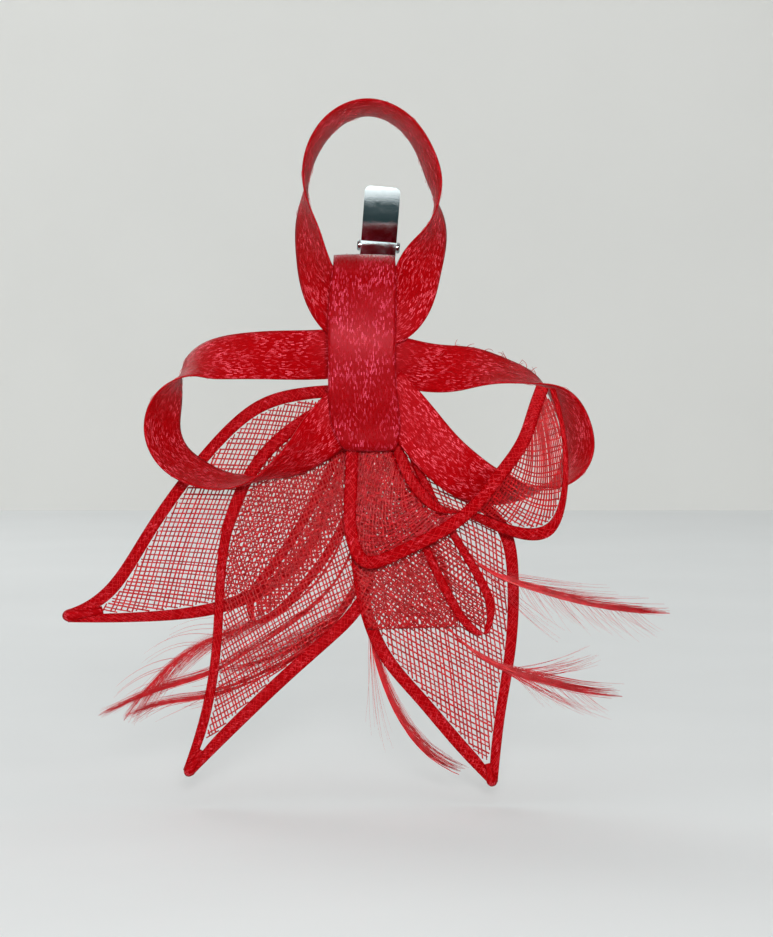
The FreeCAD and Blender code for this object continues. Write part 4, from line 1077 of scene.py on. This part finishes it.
def soft_slab(name, node, material, grow, seed):
    """A soft slab where the node's solid is: rounded rims and an uneven face, on the clip's lean."""
    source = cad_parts[node]
    mesh = source.data.copy()
    mesh.name = name
    mesh.materials.clear()
    mesh.materials.append(material)
    result = bpy.data.objects.new(name, mesh)
    bpy.context.scene.collection.objects.link(result)
    remesh = result.modifiers.new("even", "REMESH")
    remesh.mode = "VOXEL"
    remesh.voxel_size = SLAB_VOXEL * MM
    bpy.context.view_layer.objects.active = result
    result.select_set(True)
    bpy.ops.object.modifier_apply(modifier="even")
    result.select_set(False)
    mesh = result.data
    count = len(mesh.vertices)
    place, normal = np.zeros(count * 3), np.zeros(count * 3)
    mesh.vertices.foreach_get("co", place)
    mesh.vertices.foreach_get("normal", normal)
    place, normal = place.reshape(-1, 3), normal.reshape(-1, 3)
    rng = np.random.default_rng(seed)
    waves = 6
    shift = sum(np.sin(place @ rng.normal(0, SLAB_WAVES, 3) + rng.uniform(0, 6.28))
                for _ in range(waves)) / waves
    place = place - normal * (grow * MM * (0.5 + 0.5 * shift))[:, None]
    mesh.vertices.foreach_set("co", place.ravel())
    mesh.polygons.foreach_set("use_smooth", [True] * len(mesh.polygons))
    mesh.update()
    dress(node, result)
    return result


def finish_node(node, material):
    """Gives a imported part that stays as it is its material."""
    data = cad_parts[node].data
    data.materials.clear()
    data.materials.append(material)


NICKEL = nickel_plated_steel()
for node in ("front_jaw", "rear_jaw", "hinge_pin"):
    finish_node(node, NICKEL)
finish_node("binding_thread", SEWING_THREAD)
make_spring()
felt = soft_slab("backing_pad_felt", "backing_pad", PRESSED_FELT, 0.08, 3)
soft_slab("glue_bead", "glue_pad", MELTED_GLUE, 0.05, 4)

make_loop("top_loop", TOP_LOOP, 10)
make_loop("left_loop", LEFT_LOOP, 20)
right_loop = make_loop("right_loop", RIGHT_LOOP, 30)
make_stray_hairs(right_loop, 17, 35)
make_band()
for number, (name, spec) in enumerate(LEAVES.items()):
    make_leaf(name, spec, 100 + 20 * number)
make_puff()
for number, (name, points) in enumerate(FEATHERS.items()):
    make_feather(name, points, 300 + number)


# ---- the stage ----
def flat_card(name, corners, material):
    mesh = bpy.data.meshes.new(name)
    mesh.from_pydata([tuple(c) for c in corners], [], [(0, 1, 2, 3)])
    mesh.materials.append(material)
    card = bpy.data.objects.new(name, mesh)
    bpy.context.scene.collection.objects.link(card)


def painted_board(name, pale, deep, glow):
    """Matt emulsion on board, with the faint mottle of a roller. It looks paler than it lights, and
    glossy rays see a painted reflection on it.
    """
    material, tree, shader = new_material(
        name, {"Roughness": 0.8, "Specular IOR Level": 0.2, "Emission Color": linear(pale)})
    place = add(tree, "ShaderNodeTexCoord").outputs["Object"]
    mottle = add(tree, "ShaderNodeTexNoise", {"Vector": place, "Scale": 9.0, "Detail": 4.0})
    colour = add(tree, "ShaderNodeValToRGB", {"Fac": mottle.outputs["Fac"]},
                 stops=[(0.3, deep), (0.7, pale)])
    # painted reflection: glossy rays see the table painted dark teal from the flower to some 0.3 m in
    # front and white beyond, which the nickel tabs show as a dark room and a bright top
    split = add(tree, "ShaderNodeSeparateXYZ", {"Vector": place})
    front = add(tree, "ShaderNodeMapRange", {"Value": split.outputs["Y"]}, span=(0.0, -0.5))
    painted_reflection = add(tree, "ShaderNodeValToRGB", {"Fac": front.outputs[0]},
                   stops=[(0.0, pale), (0.04, "#1E383C"), (0.6, "#2A4A4E"), (0.7, "#FFFFFF")])
    rays = add(tree, "ShaderNodeLightPath")
    seen = add(tree, "ShaderNodeMix", {"Factor": rays.outputs["Is Glossy Ray"],
                                       6: colour.outputs["Color"], 7: painted_reflection.outputs["Color"]},
               data_type="RGBA")
    tree.links.new(seen.outputs[2], shader.inputs["Base Color"])
    lift = add(tree, "ShaderNodeMath", {0: rays.outputs["Is Camera Ray"], 1: glow}, operation="MULTIPLY")
    tree.links.new(lift.outputs[0], shader.inputs["Emission Strength"])
    return material


FLOOR_Z = cad_box[0].z - 0.005
WALL_Y = 0.96  # behind a camera that looks at the flower's back
flat_card("floor", [(-3, -3, FLOOR_Z), (3, -3, FLOOR_Z), (3, WALL_Y, FLOOR_Z), (-3, WALL_Y, FLOOR_Z)],
          painted_board("table_top", "#D0D3D3", "#CBCECE", 0.32))
flat_card("wall", [(-3, WALL_Y, FLOOR_Z), (3, WALL_Y, FLOOR_Z), (3, WALL_Y, 3), (-3, WALL_Y, 3)],
          painted_board("wall_paint", "#D4D5D2", "#CFD0CD", 0.36))


def area_light(name, place, target, size, power, colour="#FFFFFF"):
    data = bpy.data.lights.new(name, "AREA")
    data.shape = "SQUARE"
    data.size = size
    data.energy = power
    data.color = linear(colour)[:3]
    light = bpy.data.objects.new(name, data)
    light.location = place
    light.rotation_euler = (Vector(target) - Vector(place)).to_track_quat("-Z", "Y").to_euler()
    bpy.context.scene.collection.objects.link(light)


area_light("flash", (0.02, -0.80, 0.10), (0, 0, -0.02), 0.09, 4.6)
area_light("ceiling", (0.1, -0.2, 1.3), (0, 0, -0.02), 1.6, 6.0)
area_light("window", (-1.3, -0.6, 0.5), (0, 0, -0.02), 1.0, 2.2)
area_light("back_window", (-0.45, 0.7, 0.6), (0, 0, -0.02), 0.7, 3.0)

world = bpy.data.worlds.new("room")
bpy.context.scene.world = world
world.use_nodes = True
room = world.node_tree
background = next(n for n in room.nodes if n.type == "BACKGROUND")
rays = add(room, "ShaderNodeLightPath")
paler = add(room, "ShaderNodeMath", {0: rays.outputs["Is Camera Ray"], 1: 0.4, 2: 0.25},
            operation="MULTIPLY_ADD")
room.links.new(paler.outputs[0], background.inputs["Strength"])
# painted reflection: glossy rays see the room painted pale grey below, grey-teal at the horizon, dark
# teal above it and white from about 50 degrees up, which the metal shows
heading = add(room, "ShaderNodeTexCoord").outputs["Generated"]
split = add(room, "ShaderNodeSeparateXYZ", {"Vector": heading})
upward = add(room, "ShaderNodeMath", {0: split.outputs["Z"], 1: 0.5, 2: 0.5}, operation="MULTIPLY_ADD")
painted_room_reflection = add(room, "ShaderNodeValToRGB", {"Fac": upward.outputs[0]},
          stops=[(0.0, "#B9BFBF"), (0.47, "#44565A"), (0.66, "#1C3034"), (0.84, "#2C5256"),
                 (0.89, "#FFFFFF")])
seen = add(room, "ShaderNodeMix", {"Factor": rays.outputs["Is Glossy Ray"], 6: linear("#F2F2F0"),
                                   7: painted_room_reflection.outputs["Color"]}, data_type="RGBA")
room.links.new(seen.outputs[2], background.inputs["Color"])

# ---- the camera ----
VIEW_HEIGHT = 196.8 * MM  # what the view takes in at the flower
DISTANCE = 0.72
ELEVATION = math.radians(3.0)
TARGET = Vector((3.26 * MM, -10 * MM, -27 * MM))

lens = bpy.data.cameras.new("camera")
lens.sensor_width = 36.0
lens.lens = lens.sensor_width * DISTANCE / VIEW_HEIGHT
lens.clip_start = 0.01
camera = bpy.data.objects.new("camera", lens)
camera.location = TARGET + Vector((0, -math.cos(ELEVATION), math.sin(ELEVATION))) * DISTANCE
camera.rotation_euler = (TARGET - camera.location).to_track_quat("-Z", "Y").to_euler()
bpy.context.scene.collection.objects.link(camera)
bpy.context.scene.camera = camera
bpy.context.scene.view_settings.view_transform = "Standard"
